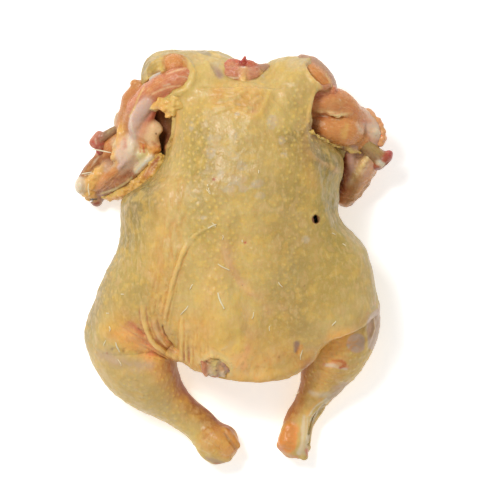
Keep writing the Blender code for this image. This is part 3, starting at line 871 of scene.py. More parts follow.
# Colours as seen, of skin and stains, and then of meat, fat and bone
shades = {
    "cream": (218, 188, 116), "straw": (210, 176, 98), "butter": (228, 196, 112), "yolk": (234, 196, 104),
    "olive": (176, 154, 76), "moss": (158, 138, 66), "fold": (238, 196, 118), "wheat": (212, 182, 120),
    "apricot": (232, 178, 96), "amber": (222, 154, 76), "peachy": (230, 180, 128), "orange": (224, 150, 76),
    "tangerine": (236, 150, 64), "rust": (184, 106, 58), "sienna": (160, 82, 46), "joint": (236, 156, 80),
    "brick": (150, 66, 42), "brown": (128, 76, 44), "pocketShadow": (92, 36, 20), "shadowBlack": (24, 14, 10),
    "lilac": (214, 194, 158), "mauve": (190, 158, 128), "bruise": (204, 172, 144), "plum": (166, 126, 110),
    "blush": (222, 158, 116), "salmon": (206, 130, 90), "coral": (204, 112, 84), "blood": (186, 58, 44),
    "crimson": (156, 34, 30), "pearl": (224, 206, 174), "gristle": (214, 194, 156), "smoke": (172, 148, 100),
    "mustard": (200, 160, 78), "ivory": (232, 222, 196), "tan": (206, 146, 84), "wingMeat": (210, 138, 80),
    "orangeMeat": (214, 144, 80), "brownMeat": (148, 92, 54), "outerMeat": (196, 130, 76),
    "sheath": (206, 172, 154), "strip": (196, 106, 76), "pink": (220, 186, 160), "peach": (236, 198, 148),
    "fat": (230, 180, 98), "paleFat": (238, 208, 146), "skinFat": (222, 184, 102), "tendon": (204, 206, 190),
    "greenish": (208, 190, 130), "wingSkin": (220, 184, 98), "flapSkin": (192, 144, 96),
    "flapPink": (206, 162, 140), "membrane": (182, 142, 116), "neckRed": (186, 84, 64),
    "neckTan": (200, 136, 102), "greyTan": (190, 158, 122), "tailRed": (190, 122, 86),
    "crumb": (216, 192, 116), "boneOlive": (176, 144, 84), "boneBrown": (152, 114, 82),
    "boneRed": (170, 56, 48), "bonePink": (200, 118, 92),
}
shades = {name: seen(*levels) for name, levels in shades.items()}


# Stains of the skin, and among them some painted shade and painted highlights, painted in this order: shade,
# softness in mm, strength, and the path that it covers, as x, y and radius seen from above or as x, y, z and
# radius
stainsAndPaintedLight = [
    # The olive and moss stains just below darken the sides and the upper back: partly the skin's olive tint,
    # partly painted shade where the body slopes away from the top
    ("olive", 34, 0.75, [(62, 70, 10), (66, 40, 16), (66, 5, 18), (64, -30, 16)]),
    ("moss", 22, 0.55, [(72, 46, 4), (74, 20, 8), (72, -4, 8)]),
    ("moss", 12, 0.7, [(47, 76, 3), (54, 66, 6), (62, 62, 7), (70, 58, 5)]),
    ("olive", 22, 0.6, [(30, 84, 8), (36, 60, 10), (44, 34, 10)]),
    ("mauve", 5, 0.6, [(46.6, 70, 2.4), (50, 63, 1.6)]),
    ("olive", 18, 0.45, [(-28, 80, 6), (-36, 50, 8)]),
    ("olive", 30, 0.45, [(-66, 46, 8), (-78, 10, 14), (-84, -24, 12)]),
    ("olive", 24, 0.35, [(-30, 60, 10), (-34, 30, 10), (-26, 4, 8)]),
    ("apricot", 30, 0.6, [(-34, -72, 16), (4, -86, 18), (36, -80, 14)]),
    ("apricot", 22, 0.7, [(-56, 44, 2), (-60, 10, 3), (-60, -30, 5), (-52, -60, 8)]),
    ("fold", 10, 0.7, [(-14, 105, 8), (0, 102, 13), (10, 102, 12)]),
    ("apricot", 8, 0.9, [(-13, 106, 8), (-4, 104, 10), (8, 102, 9), (12, 95, 6)]),
    # mustard over the sides: partly the skin's tint, partly painted shade
    ("mustard", 26, 0.35, [(-86, -58, 14), (-76, -30, 12), (-72, 20, 10)]),
    ("mustard", 24, 0.35, [(30, 70, 10), (44, 10, 16), (60, -30, 16), (30, -60, 14)]),
    ("fold", 2, 0.95, [(50.6, 129, 1.2), (49.4, 125.6, 1.3), (52, 119.6, 1.7), (56, 114.6, 2), (61, 111.8, 2),
                       (65.6, 112.4, 1.4)]),
    ("fold", 2, 0.8, [(54.4, 109, 1.1), (52.4, 103, 1.2), (50.4, 94, 1.3), (49, 87, 1.4), (46, 81, 1.4)]),
    # dark brown at the foot of the right wing flap: painted shade in the pocket there
    ("brown", 3, 0.8, [(51.6, 84, 1.4), (53.6, 78, 1.8), (55.6, 74, 1.2)]),
    ("orange", 6, 0.25, [(-14, 107, 3), (-16, 100, 3)]),
    ("straw", 26, 0.5, [(0, 60, 20), (2, 20, 18), (4, -14, 16)]),
    ("amber", 16, 0.6, [(-86, -60, 8), (-70, -72, 9), (-54, -84, 5)]),
    ("apricot", 14, 0.6, [(50, 84, 3), (48, 66, 5), (54, 40, 4)]),
    ("butter", 14, 0.5, [(34, 124, 8), (30, 104, 6), (30, 84, 8)]),
    ("butter", 12, 0.45, [(-40, 100, 5), (-30, 124, 6), (-24, 136, 5)]),
    ("lilac", 5, 0.35, [(60, 132, 3), (40, 128, 5)]),
    ("amber", 14, 0.6, [(-44, -89.5, 1), (-29, -96, 1.5), (0, -103, 2), (18.5, -104, 2), (35.5, -99, 2),
                       (46, -94, 2), (54, -82, 2), (66, -71, 2), (80, -66, 1.5), (93, -57.7, 1.5)]),
    ("wheat", 16, 0.9, [(-98, -84, 12), (-84, -100, 14), (-66, -114, 12), (-50, -128, 9)]),
    ("yolk", 14, 0.5, [(-96, -64, 8), (-84, -80, 6), (-70, -90, 6)]),
    ("apricot", 10, 0.9, [(-94, -66, 6), (-80, -74, 8), (-64, -82, 7), (-52, -86, 4)]),
    ("apricot", 12, 0.9, [(64, -82, 6), (76, -74, 8), (88, -72, 5)]),
    ("straw", 14, 0.7, [(84, -88, 8), (74, -100, 6)]),
    ("amber", 16, 0.8, [(-62, -94, 6), (-50, -110, 6), (-34, -126, 6), (-18, -138, 6)]),
    ("rust", 12, 1.0, [(-52, -92, 4), (-47, -104, 4), (-40, -114, 4), (-28, -125, 4), (-16, -134, 4),
                       (-6, -141, 3)]),
    ("sienna", 6, 0.9, [(-46.5, -92, 1.6), (-43.4, -104, 2), (-37.4, -114.6, 2.4), (-28, -124, 2.4),
                        (-17.5, -132.4, 2.4), (-7, -139.4, 1.4)]),
    ("amber", 22, 0.5, [(66, -90, 6), (60, -104, 6), (56, -114, 4)]),
    ("rust", 9, 1.0, [(50, -92, 3.4), (46.6, -106, 4), (41, -122, 4), (36, -134, 3)]),
    ("sienna", 5, 0.8, [(47.6, -94, 1.4), (45, -108, 1.6), (38.6, -124, 1.6), (33.8, -134, 1)]),
    ("amber", 16, 0.7, [(48, -104, 3), (42, -122, 3), (36, -136, 2)]),
    ("bruise", 9, 0.75, [(-102, -84, 3.4), (-90, -89, 4), (-76, -92, 4), (-66, -91, 2)]),
    ("orange", 12, 0.9, [(-22, -146, 7), (-10, -153, 9)]),
    ("tangerine", 9, 0.45, [(-18, -142, 4), (-9, -150, 6)]),
    ("tangerine", 6, 0.6, [(-4, -148, 2), (-1, -154, 2), (-10, -158, 3)]),
    ("yolk", 6, 0.5, [(-24, -150, 3), (-16, -158, 3)]),
    ("joint", 3, 1.0, [(37.6, -141.6, 6), (34.4, -151, 7.4)]),
    ("orange", 5, 0.6, [(40, -138, 2), (37, -141, 2)]),
    ("blush", 2.4, 0.8, [(29.6, -155, 1.2), (36, -160, 1.6), (42, -162, 1.4)]),
    ("rust", 5, 0.5, [(37.7, -122.8, 2), (40, -131, 2.5)]),
    ("bruise", 2, 1.0, [(86, -75.6, 7.4)]),
    ("mauve", 3, 0.5, [(84, -73.6, 2.4), (88.6, -77, 1.6)]),
    ("bruise", 2, 1.0, [(104, -52, 3.4), (99, -59, 5.4), (98.6, -68, 5.4), (98, -77, 4)]),
    ("mauve", 2.4, 0.6, [(101.6, -56, 1.4), (102.4, -66, 1.4), (99.4, -76, 1.6)]),
    ("amber", 3, 0.35, [(96, -62, 2), (95.4, -69, 2)]),
    ("butter", 2, 0.45, [(98.1, -57.4, 0.4), (99.4, -65, 0.4), (96.4, -71.9, 0.4)]),
    ("yolk", 2, 0.8, [(92.6, -68, 1), (93, -75, 1.1), (92.6, -80, 0.8)]),
    ("blush", 1.6, 1.0, [(62, -91.4, 1.2), (66.4, -92, 2), (72, -91.4, 2.4), (78.6, -93.6, 1.8)]),
    ("pearl", 1.6, 0.8, [(63.6, -91.8, 1.2), (70, -92.4, 1.5), (79, -95.2, 0.8)]),
    ("blood", 1.6, 0.9, [(68.4, -88.4, 0.6), (74.6, -89, 1.2), (77.4, -91.6, 1.5), (74, -93.6, 1.1)]),
    ("blush", 1.0, 0.8, [(76.4, -88.4, 0.7)]),
    ("mauve", 7, 0.8, [(78, -108, 4), (68, -117, 4)]),
    # pale streak across the right drumstick: painted highlight
    ("pearl", 4, 0.7, [(52, -112.5, 1), (59, -114.5, 2), (66, -114, 1.4)]),
    ("mauve", 3, 0.7, [(62, -113, 0.6), (58, -119, 0.8)]),
    ("apricot", 2.5, 0.7, [(60, -118, 1.2), (54, -124, 1.6), (50, -130, 1.4)]),
    ("gristle", 2.4, 0.95, [(65, -119, 1.2), (58, -127, 1.5), (53, -134, 1.2)]),
    ("ivory", 1.2, 0.7, [(64, -117.6, 0.4), (56, -123.6, 0.5), (51.6, -130, 0.4)]),
    ("smoke", 2, 0.8, [(54.6, -133, 0.8), (53, -139, 1.2), (51.4, -147, 1.2), (51, -153, 0.8)]),
    ("amber", 2, 0.6, [(56, -136, 0.6), (54, -142, 0.6)]),
    ("brown", 1.2, 0.5, [(53.2, -139, 0.4), (51.4, -148, 0.4)]),
    ("pearl", 2.5, 0.8, [(47.6, -131, 1), (46.8, -142, 1.3), (46, -152, 1.4), (44, -158, 1.6)]),
    ("gristle", 3, 0.8, [(50, -147, 1.4), (48.4, -154, 2), (48, -158, 1.6)]),
    ("blush", 3, 0.9, [(28, -154, 1.2), (34, -160, 2), (42, -163, 1.6)]),
    ("pearl", 2, 0.6, [(31, -157.6, 0.8), (38, -160.6, 1)]),
    ("coral", 2, 0.9, [(49.6, -156, 0.9), (50.5, -160, 0.8)]),
    ("mauve", 2.4, 0.9, [(-25, -162, 1.4), (-18, -164.6, 2), (-12.6, -165.6, 1.2)]),
    ("blood", 1.6, 0.6, [(-19, -166, 0.6), (-15, -166.4, 0.5)]),
    ("apricot", 7, 0.6, [(-26, -154, 4), (-20, -148, 5), (-12, -152, 5)]),
    ("mauve", 2, 0.8, [(-11.8, -143.6, 0.3), (-6, -150, 0.7), (-1.5, -157.6, 0.7)]),
    ("ivory", 1.2, 0.5, [(-27, -149, 0.1), (-18.5, -152.5, 0.1)]),
    ("ivory", 1.2, 0.5, [(-31, -155, 0.1), (-22, -159, 0.1)]),
    ("amber", 9, 0.6, [(-92, -68, 3), (-80, -76, 4), (-66, -84, 3)]),
    ("coral", 7, 0.55, [(-80, -64, 2), (-72, -70, 3), (-64, -80, 2)]),
    ("coral", 3, 0.7, [(-81, -60, 0.8), (-75, -65, 1.4), (-70, -69.6, 1)]),
    ("coral", 5, 0.7, [(-66, -82, 1.6), (-61, -85, 1.2)]),
    ("blush", 9, 0.35, [(-11, -1.5, 1), (-1.5, -25, 1.5), (5, -35, 1.5), (13, -41, 1)]),
    ("yolk", 14, 0.4, [(-22, -34, 8), (-16, -56, 9), (-11, -76, 7)]),
    ("peachy", 6, 0.5, [(16, -42, 3), (21, -53, 3)]),
    ("peachy", 5, 0.4, [(30, -46, 2), (34, -56, 2)]),
    ("rust", 1.4, 0.45, [(36.9, -49.7, 0.4)]),
    ("rust", 1.4, 0.45, [(37.3, -57.4, 0.5)]),
    ("orange", 3, 0.6, [(99.4, -46.4, 1.4)]),
    ("orange", 3, 0.5, [(93.4, -53.2, 1.2)]),
    ("apricot", 20, 0.5, [(-6, -4, 4), (-20, -30, 6), (-24, -60, 8)]),
    ("blush", 14, 0.4, [(2, -50, 3), (8, -70, 4), (0, -86, 4)]),
    ("cream", 5, 0.5, [(3.7, -57.7, 1), (9.6, -65, 1.2)]),
    ("cream", 5, 0.5, [(-5.2, 79.9, 0.8), (-5.2, 59.2, 1.2)]),
    ("plum", 2, 0.9, [(41.4, -75.4, 2), (40.6, -80.6, 1.4)]),
    ("tangerine", 1.6, 0.9, [(45, -77, 0.9), (44, -80.4, 1.6), (41.6, -82.6, 1)]),
    ("coral", 1.2, 0.6, [(43, -79, 0.6)]),
    ("plum", 2, 0.9, [(-94, -79.8, 1)]),
    ("brown", 2.4, 0.7, [(-85.8, -81.2, 0.9)]),
    ("brown", 1.2, 1.0, [(28.4, -85.2, 0.8)]),
    ("brown", 1.2, 0.7, [(46.6, -33.3, 0.4)]),
    ("blood", 1.2, 1.0, [(-18.9, 44.4, 1)]),
    ("blood", 1.6, 0.9, [(3.7, -1.5, 0.9)]),
    ("blood", 1.2, 0.9, [(-98, -83, 0.5)]),
    ("smoke", 1.8, 1.0, [(-31, 139, 0.8), (-27, 138, 1.8), (-22.4, 136.6, 1.8)]),
    ("yolk", 2, 0.7, [(-21, 138, 1), (-17.6, 136.4, 1.6), (-15, 134.4, 1)]),
    ("olive", 1.6, 1.0, [(-25.6, 140.4, 0.8), (-20, 139.6, 1), (-16.6, 138.4, 1)]),
    ("cream", 1.6, 0.9, [(-31, 136.6, 0.6), (-24, 134.2, 0.8), (-16, 132.6, 0.9)]),
    ("lilac", 5, 0.8, [(-21.6, 130.6, 1.4), (-17, 128.6, 2.8), (-13.6, 127, 2.2)]),
    ("mauve", 4, 0.9, [(-19, 126, 1.2), (-16.4, 123.6, 2.6), (-14.4, 120.6, 2.2)]),
    ("plum", 4, 0.6, [(-16, 122.8, 1.2), (-14.6, 120, 1.4)]),
    ("straw", 2, 0.7, [(-11.6, 129.6, 0.8), (-11.6, 125, 0.8)]),
    ("mauve", 2, 0.9, [(16.4, 125.6, 1.2), (19.6, 125.6, 1.4)]),
    ("lilac", 2, 0.7, [(15.4, 123, 1), (16.6, 120, 1)]),
    ("butter", 3, 0.8, [(-61, 126, 5), (-66, 120, 3)]),
    ("plum", 1.6, 0.8, [(-66.6, 121.4, 1.2), (-63.6, 122.2, 0.8)]),
    ("plum", 1.4, 0.8, [(-61, 123.2, 0.8), (-58.6, 123.6, 0.8)]),
    ("wheat", 2.4, 1.0, [(-28.6, -89, 1.4), (-26, -86.2, 1.9), (-22.6, -83.8, 2.2), (-18.5, -83, 2.4),
                         (-14.2, -84.8, 2.4), (-10.4, -88.2, 2.4), (-7.4, -92.6, 2.2), (-6.2, -97.4, 1.6)]),
    ("fold", 2, 0.6, [(-26, -86.4, 0.8), (-20, -83.4, 1), (-12.6, -86.4, 1), (-8.4, -91.4, 0.8)]),
    ("cream", 1.6, 0.8, [(-15, -84.6, 0.6), (-11.6, -87.6, 0.8), (-8.4, -91.4, 0.8)]),
    ("coral", 7, 0.4, [(0, -90, 1), (3, -96, 2)]),
    ("coral", 5, 0.3, [(6, -78, 0.6), (4, -90, 1)]),
    ("lilac", 3, 0.5, [(-23, -79, 1.4), (-18, -82, 1)]),
    ("lilac", 1.6, 0.5, [(-13.6, -79.6, 0.8), (-9.6, -77.4, 0.8)]),
    ("lilac", 2, 0.7, [(13, 104, 1), (14.6, 103, 0.8)]),
    ("blush", 2, 0.6, [(9.6, 93.6, 1.2), (14, 93, 1)]),
    ("lilac", 2, 0.7, [(-3, 99, 1), (-0.4, 98.2, 0.8)]),
    ("rust", 1.0, 0.8, [(-2.4, 91.4, 0.5)]),
    ("butter", 1.6, 0.8, [(52, 17.6, 0.8), (53.6, 20, 0.8), (56, 21, 0.6)]),
]
# Pale scrapes: middle, and half sizes across and along
scrapes = [
    (-35.2, 81.9, 1.8, 3.6), (-18, 73.3, 4.4, 3.6), (-5.4, 74, 3.4, 6), (-20.6, 62.8, 3, 3.6),
    (-5.4, 61.5, 3.4, 4.4), (2.8, 52.9, 5.4, 4), (-0.1, 44.9, 7.6, 3.8), (11.8, 41, 5.6, 3.8),
    (-10, 37.7, 4.4, 3), (3.2, 38, 3, 2.6), (14.4, 33, 4, 2.2), (-15.3, 47.6, 3, 3.4), (21.7, 85.9, 7, 5),
    (-2.2, 91.8, 2.4, 1.4), (47.4, 0.7, 2.8, 2.2), (-25.9, 16.3, 2.4, 1.6), (32, 62, 3, 2), (30, 72, 2, 3),
]


# Broad lighter and darker areas of the skin, mostly painted light and shade: lighter where ledges, folds and
# the slope of the lower back put the skin in shade, darker on the sides and shoulders turned from the light,
# and a few are the skin's own tone; change of brightness, softness and path
tonesAndPaintedLight = [
    (0.06, 14, [(-64, -100, 9)]),
    (0.05, 12, [(74, -74, 8)]),
    (0.1, 8, [(50, -132, 5), (46, -146, 5)]),
    (0.06, 12, [(-80, -72, 8)]),
    (-0.16, 4, [(-50.4, -82, 2.6)]),
    (0.16, 4, [(-57, -68, 1.6), (-54, -75, 1.8)]),
    (-0.06, 20, [(-76, -40, 12)]),
    (-0.06, 18, [(-70, 30, 10)]),
    (0.12, 9, [(-68, -83, 5), (-58, -86, 4)]),
    (0.1, 14, [(-22, -92, 6), (0, -96, 7), (14, -98, 6)]),
    (0.1, 10, [(64, -92, 6), (56, -112, 5)]),
    (-0.03, 20, [(0, 0, 200), (0, -20, 200)]),
    (-0.2, 22, [(-66, 58, 8), (-72, 38, 13), (-80, 16, 9), (-84, 0, 6)]),
    (-0.16, 20, [(-98, -14, 8), (-102, -36, 10), (-112, -60, 6), (-116, -80, 6)]),
    (-0.08, 26, [(-30, 78, 14), (-16, 56, 18), (-24, 34, 14)]),
    (-0.08, 14, [(-24, 52, 6)]),
    (-0.08, 22, [(8, 74, 11), (12, 45, 11)]),
    (-0.07, 14, [(-8, 104, 8), (8, 99, 9)]),
    (-0.08, 16, [(38, 112, 8), (40, 96, 6)]),
    (-0.2, 16, [(36, 74, 7), (50, 78, 8), (50, 66, 11), (64, 56, 8)]),
    (-0.08, 20, [(28, 34, 13), (30, 10, 14)]),
    (-0.1, 14, [(66, 26, 6)]),
    (-0.12, 20, [(36, -8, 10), (36, -30, 14), (38, -50, 13), (46, -62, 9)]),
    (0.13, 16, [(-22, -82, 7), (0, -84, 10), (18, -88, 7)]),
    (0.1, 14, [(-84, -70, 7), (-68, -74, 9)]),
    (0.09, 12, [(72, -70, 8), (80, -74, 9), (66, -86, 7)]),
    (-0.12, 12, [(-34, -126, 6), (-22, -138, 7)]),
    (-0.18, 10, [(-68, 128, 6)]),
]


# Moves colours towards a shade, each by its share
def wash(colours, shade, share):
    colours += share[:, None] * (shades[shade] - colours)


def paintSkin(item):
    points, normals = pointsOf(item), normalsOf(item)
    above = fade(normals[:, 2], -0.3, 0.15)
    ragged = heaped(points, skin["ragged"])
    colours, calm = np.tile(shades["cream"], (len(points), 1)), np.zeros(len(points))
    wash(colours, "straw", fade(lumps(points, 24, 31), -0.5, 0.6))
    wash(colours, "apricot", 0.35 * (1 - above))
    # steep sides from the thighs forward are painted darker and more olive: painted shade
    wash(colours, "moss", 0.8 * fade(normals[:, 2], 0.8, 0.1) * fade(points[:, 1], -84, -60))  # flanks
    for shade, soft, strength, path in stainsAndPaintedLight:
        share = strength * above * covered(points, path, soft, ragged * min(1, soft / 7))
        wash(colours, shade, share)
        calm = np.maximum(calm, share * bareShades.get(shade, 0))
    for x, y, halfWidth, halfLength in scrapes:
        reach = np.hypot((points[:, 0] - x) / halfWidth, (points[:, 1] - y) / halfLength) + 0.42 * ragged
        wash(colours, "lilac", 0.75 * above * (1 - fade(reach, 0.7, 1.15)))
    # raw insides of the windows and pockets, and the raw rear where the skin ends, with painted shade deep in
    # the pockets and in the body hole
    for shade, soft, strength, path in rawPlacesAndShadows:
        share = strength * covered(points, path, soft, 0.4 * ragged)
        wash(colours, shade, share)
        calm = np.maximum(calm, share)
    colours += read(item, "ink")[:, None] * (read(item, "shade", 3) - colours)
    # painted light and shade: whole areas made lighter or darker
    for gain, soft, path in tonesAndPaintedLight:
        colours *= (1 + gain * above * covered(points, path, soft, ragged))[:, None] ** 2.2
    store(item, "tint", withAlpha(colours))
    store(item, "calm", calm)


# How much each shade stands for flesh that lies bare of yellow skin, and where the bird is raw inside,
# darkened deep in the pockets and the body hole with painted shade: shade, softness, strength and path
bareShades = dict.fromkeys(
    ("pocketShadow", "shadowBlack", "brown", "brick", "blood", "mauve", "bruise", "plum", "pearl", "gristle", "ivory",
     "joint", "sienna", "smoke"), 1.0) | {"wheat": 0.15}
rawPlacesAndShadows = [
    ("rust", 3, 1.0, [(-62, 98, 72, 8), (-60, 86, 66, 10), (-58, 72, 60, 8)]),
    # brown towards the floor of the left pocket: partly raw flesh, partly painted shade
    ("brown", 8, 0.9, [(-60, 94, 62, 8), (-58, 80, 58, 10), (-56, 70, 54, 8)]),
    ("wheat", 4, 0.75, [(-49.6, 92, 74, 3.4), (-48.6, 80, 72, 3.6), (-51, 70, 64, 3)]),
    ("tan", 2, 0.9, [(-48, 130, 80, 9), (-46, 121, 84, 9), (-56, 114, 80, 9)]),
    ("rust", 3, 0.9, [(58, 112, 74, 10), (60, 96, 66, 12), (58, 82, 62, 8)]),
    # dark maroon deep in the right pocket and in the gap under the right wing flap: painted shade
    ("pocketShadow", 5, 0.95, [(56, 92, 58, 6), (56, 82, 54, 6)]),
    ("pocketShadow", 6, 0.9, [(66, 66, 34, 6), (70, 50, 24, 6), (70, 36, 16, 6)]),
    ("rust", 8, 0.8, [(-30, -100, 44, 8), (0, -108, 40, 14), (30, -102, 42, 8)]),
    # dark brown round the body hole and black inside it: painted shade
    ("brown", 1, 1.0, [(55.2, 15, 91, 3.2), (55.2, 15, 86, 3.6)]),
    ("shadowBlack", 2, 1.0, [(55, 14.6, 84, 3.6), (55, 14.6, 78, 3.6)]),
]


# The look of skin: the painted tint, yellow follicles on paler skin, fine mottling and a damp surface. Each
# pattern has its size in metres and its detail, and each layer its pattern, where it begins and is full, its
# strength and its colour
skinFinish = {
    "patterns": {"mottle": (0.008, 3.0), "cloud": (0.018, 2.0), "streak": (0.0026, 3.0),
                 "grain": (0.0013, 2.0)},
    "streakStretch": (1.0, 0.45, 1.0),
    "layers": [
        ("mottle", 0.48, 0.68, 0.4, (234, 190, 94)),
        ("mottle", 0.5, 0.34, 0.34, (224, 182, 122)),
        ("cloud", 0.48, 0.7, 0.22, (186, 152, 76)),
        ("streak", 0.52, 0.7, 0.3, (194, 148, 74)),
        ("streak", 0.48, 0.32, 0.22, (234, 204, 146)),
    ],
    "dots": (236, 202, 108),
    "betweenDots": (226, 192, 146),
}


def skinLook(tree):
    place, colour = tree.place(), tree.attribute("tint")
    long = {0: place, 1: skinFinish["streakStretch"]}
    long = tree.node("ShaderNodeVectorMath", {"operation": "MULTIPLY"}, long)
    field = {name: tree.noise(long if name == "streak" else place, size, detail)
             for name, (size, detail) in skinFinish["patterns"].items()}
    skinny, dot = 1 - tree.attribute("calm", 2), tree.ramp(tree.attribute("follicle", 2), 0.12, 0.75)
    for pattern, start, end, strength, shade in skinFinish["layers"]:
        colour = tree.mix(tree.ramp(field[pattern], start, end) * skinny * strength, colour, shade)
    colour = tree.mix(dot * skinny * 0.46, colour, skinFinish["dots"])
    between = (1 - dot) * tree.ramp(field["grain"], 0.5, 0.75) * 0.12
    colour = tree.mix(between, colour, skinFinish["betweenDots"])
    roughness = tree.ramp(field["mottle"] + field["grain"] * 0.5, 0.5, 1.0, 0.3, 0.46)
    return colour, roughness, field["grain"] * 0.2 + field["streak"] * 0.25


# Meat and gristle. Fibres run along each limb: their coordinates, drawn out along it and apart for each shape
fibreStretch, fibreShift = 0.12, 17


def grainOf(points, shapes, nearest):
    grain = points.copy()
    for index, (low, high, distance) in enumerate(shapes):
        mine, rows = nearest == index, getattr(distance, "rows", None)
        if rows is None or not mine.any():
            continue
        some, run = points[mine], 0.0
        best, offset, way = np.full(len(some), 1e9), np.zeros((len(some), 3)), np.zeros(len(some))
        for a, b in zip(rows[:, :3], rows[1:, :3]):
            step = b - a
            length = max(float(np.linalg.norm(step)), 1e-9)
            share = np.clip((some - a) @ step / length**2, 0, 1)
            away = some - a - share[:, None] * step
            far = np.linalg.norm(away, axis=1)
            closer = far < best
            best[closer], offset[closer] = far[closer], away[closer]
            way[closer] = run + share[closer] * length
            run += length
        main = rows[-1, :3] - rows[0, :3]
        main = main / max(np.linalg.norm(main), 1e-9)
        grain[mine] = offset + main * (way * fibreStretch)[:, None] + fibreShift * index
    return grain * mm


# The share of each shape's tint at points, and the nearest shape
def sharesOf(points, shapes, soft=0.9):
    away = np.array([distance(*points.T) for low, high, distance in shapes])
    weight = np.exp(-np.maximum(away - away.min(axis=0), 0) / soft)
    return weight / weight.sum(axis=0), away.argmin(axis=0)


# A piece of meat, fat or bone from its plan: shapes with their blend in mm and tint, hollows taken out of
# them, lumps of the surface, and stains, with painted shade and painted highlights among them, as on the skin
def fleshPiece(name, plan):
    flesh = Flesh(*plan["block"], plan["voxel"])
    for shape, blend, tint in plan["shapes"]:
        flesh.add(shape, blend, tint)
    for shape, blend in plan.get("hollows", []):
        flesh.carve(shape, blend)
    points, faces = flesh.surface()
    item = meshFrom(name, points, faces)
    fatty = np.array([tint in fattyShades for tint in flesh.tints]) @ sharesOf(points, flesh.shapes)[0]
    height = heaped(points, plan["lumps"]) + fatty * heaped(points, fatLumps)
    moveTo(item, points + normalsOf(item) * height[:, None])
    thinned(item, plan["triangles"])
    points = pointsOf(item)
    shares, nearest = sharesOf(points, flesh.shapes)
    colours = shares.T @ np.array([shades[tint] for tint in flesh.tints])
    fibrous = np.array([tint in fibrousShades for tint in flesh.tints]) @ shares
    ragged = heaped(points, raggedMarks)
    for shade, soft, strength, path in plan["stainsAndPaintedLight"]:
        share = strength * covered(points, path, soft, ragged * min(1, soft / 4))
        wash(colours, shade, share)
        if shade not in fibrousShades:
            fibrous *= 1 - share
    store(item, "tint", withAlpha(colours))
    store(item, "fibrous", fibrous)
    store(item, "grain", grainOf(points, flesh.shapes, nearest))
    return item


fatLumps = [(4.4, 1.4, 80), (2.2, 0.9, 81)]
raggedMarks = [(4, 1.2, 21), (1.8, 0.6, 22)]
fattyShades = {"fat", "paleFat", "skinFat", "amber", "wingSkin"}
fibrousShades = {"tan", "salmon", "strip", "wingMeat", "orangeMeat", "brownMeat", "neckRed", "neckTan",
                 "coral", "rust"}


# The look of meat: the painted tint, light and dark fibres, and a mottled wet surface
def meatLook(tree):
    place, tint, fibrous = tree.place(), tree.attribute("tint"), tree.attribute("fibrous", 2)
    fibre = tree.noise(tree.attribute("grain", 1), 0.0011, 3.0)
    cloud, fine = tree.noise(place, 0.004, 2.0), tree.noise(place, 0.0014, 2.0)
    colour = tree.mix(tree.ramp(fibre, 0.52, 0.72) * fibrous * 0.4, tint, (240, 190, 138))
    colour = tree.mix(tree.ramp(fibre, 0.48, 0.3) * fibrous * 0.32, colour, (186, 92, 56))
    colour = tree.mix(tree.ramp(cloud, 0.45, 0.75) * (0.25 - fibrous * 0.05), colour, (232, 176, 112))
    colour = tree.mix(tree.ramp(fine, 0.55, 0.75) * (1 - fibrous) * 0.25, colour, (214, 146, 96))
    roughness = tree.ramp(cloud, 0.3, 0.8, 0.2, 0.38)
    return colour, roughness, fibre * fibrous * 0.4 + fine * 0.3 + cloud * 0.3


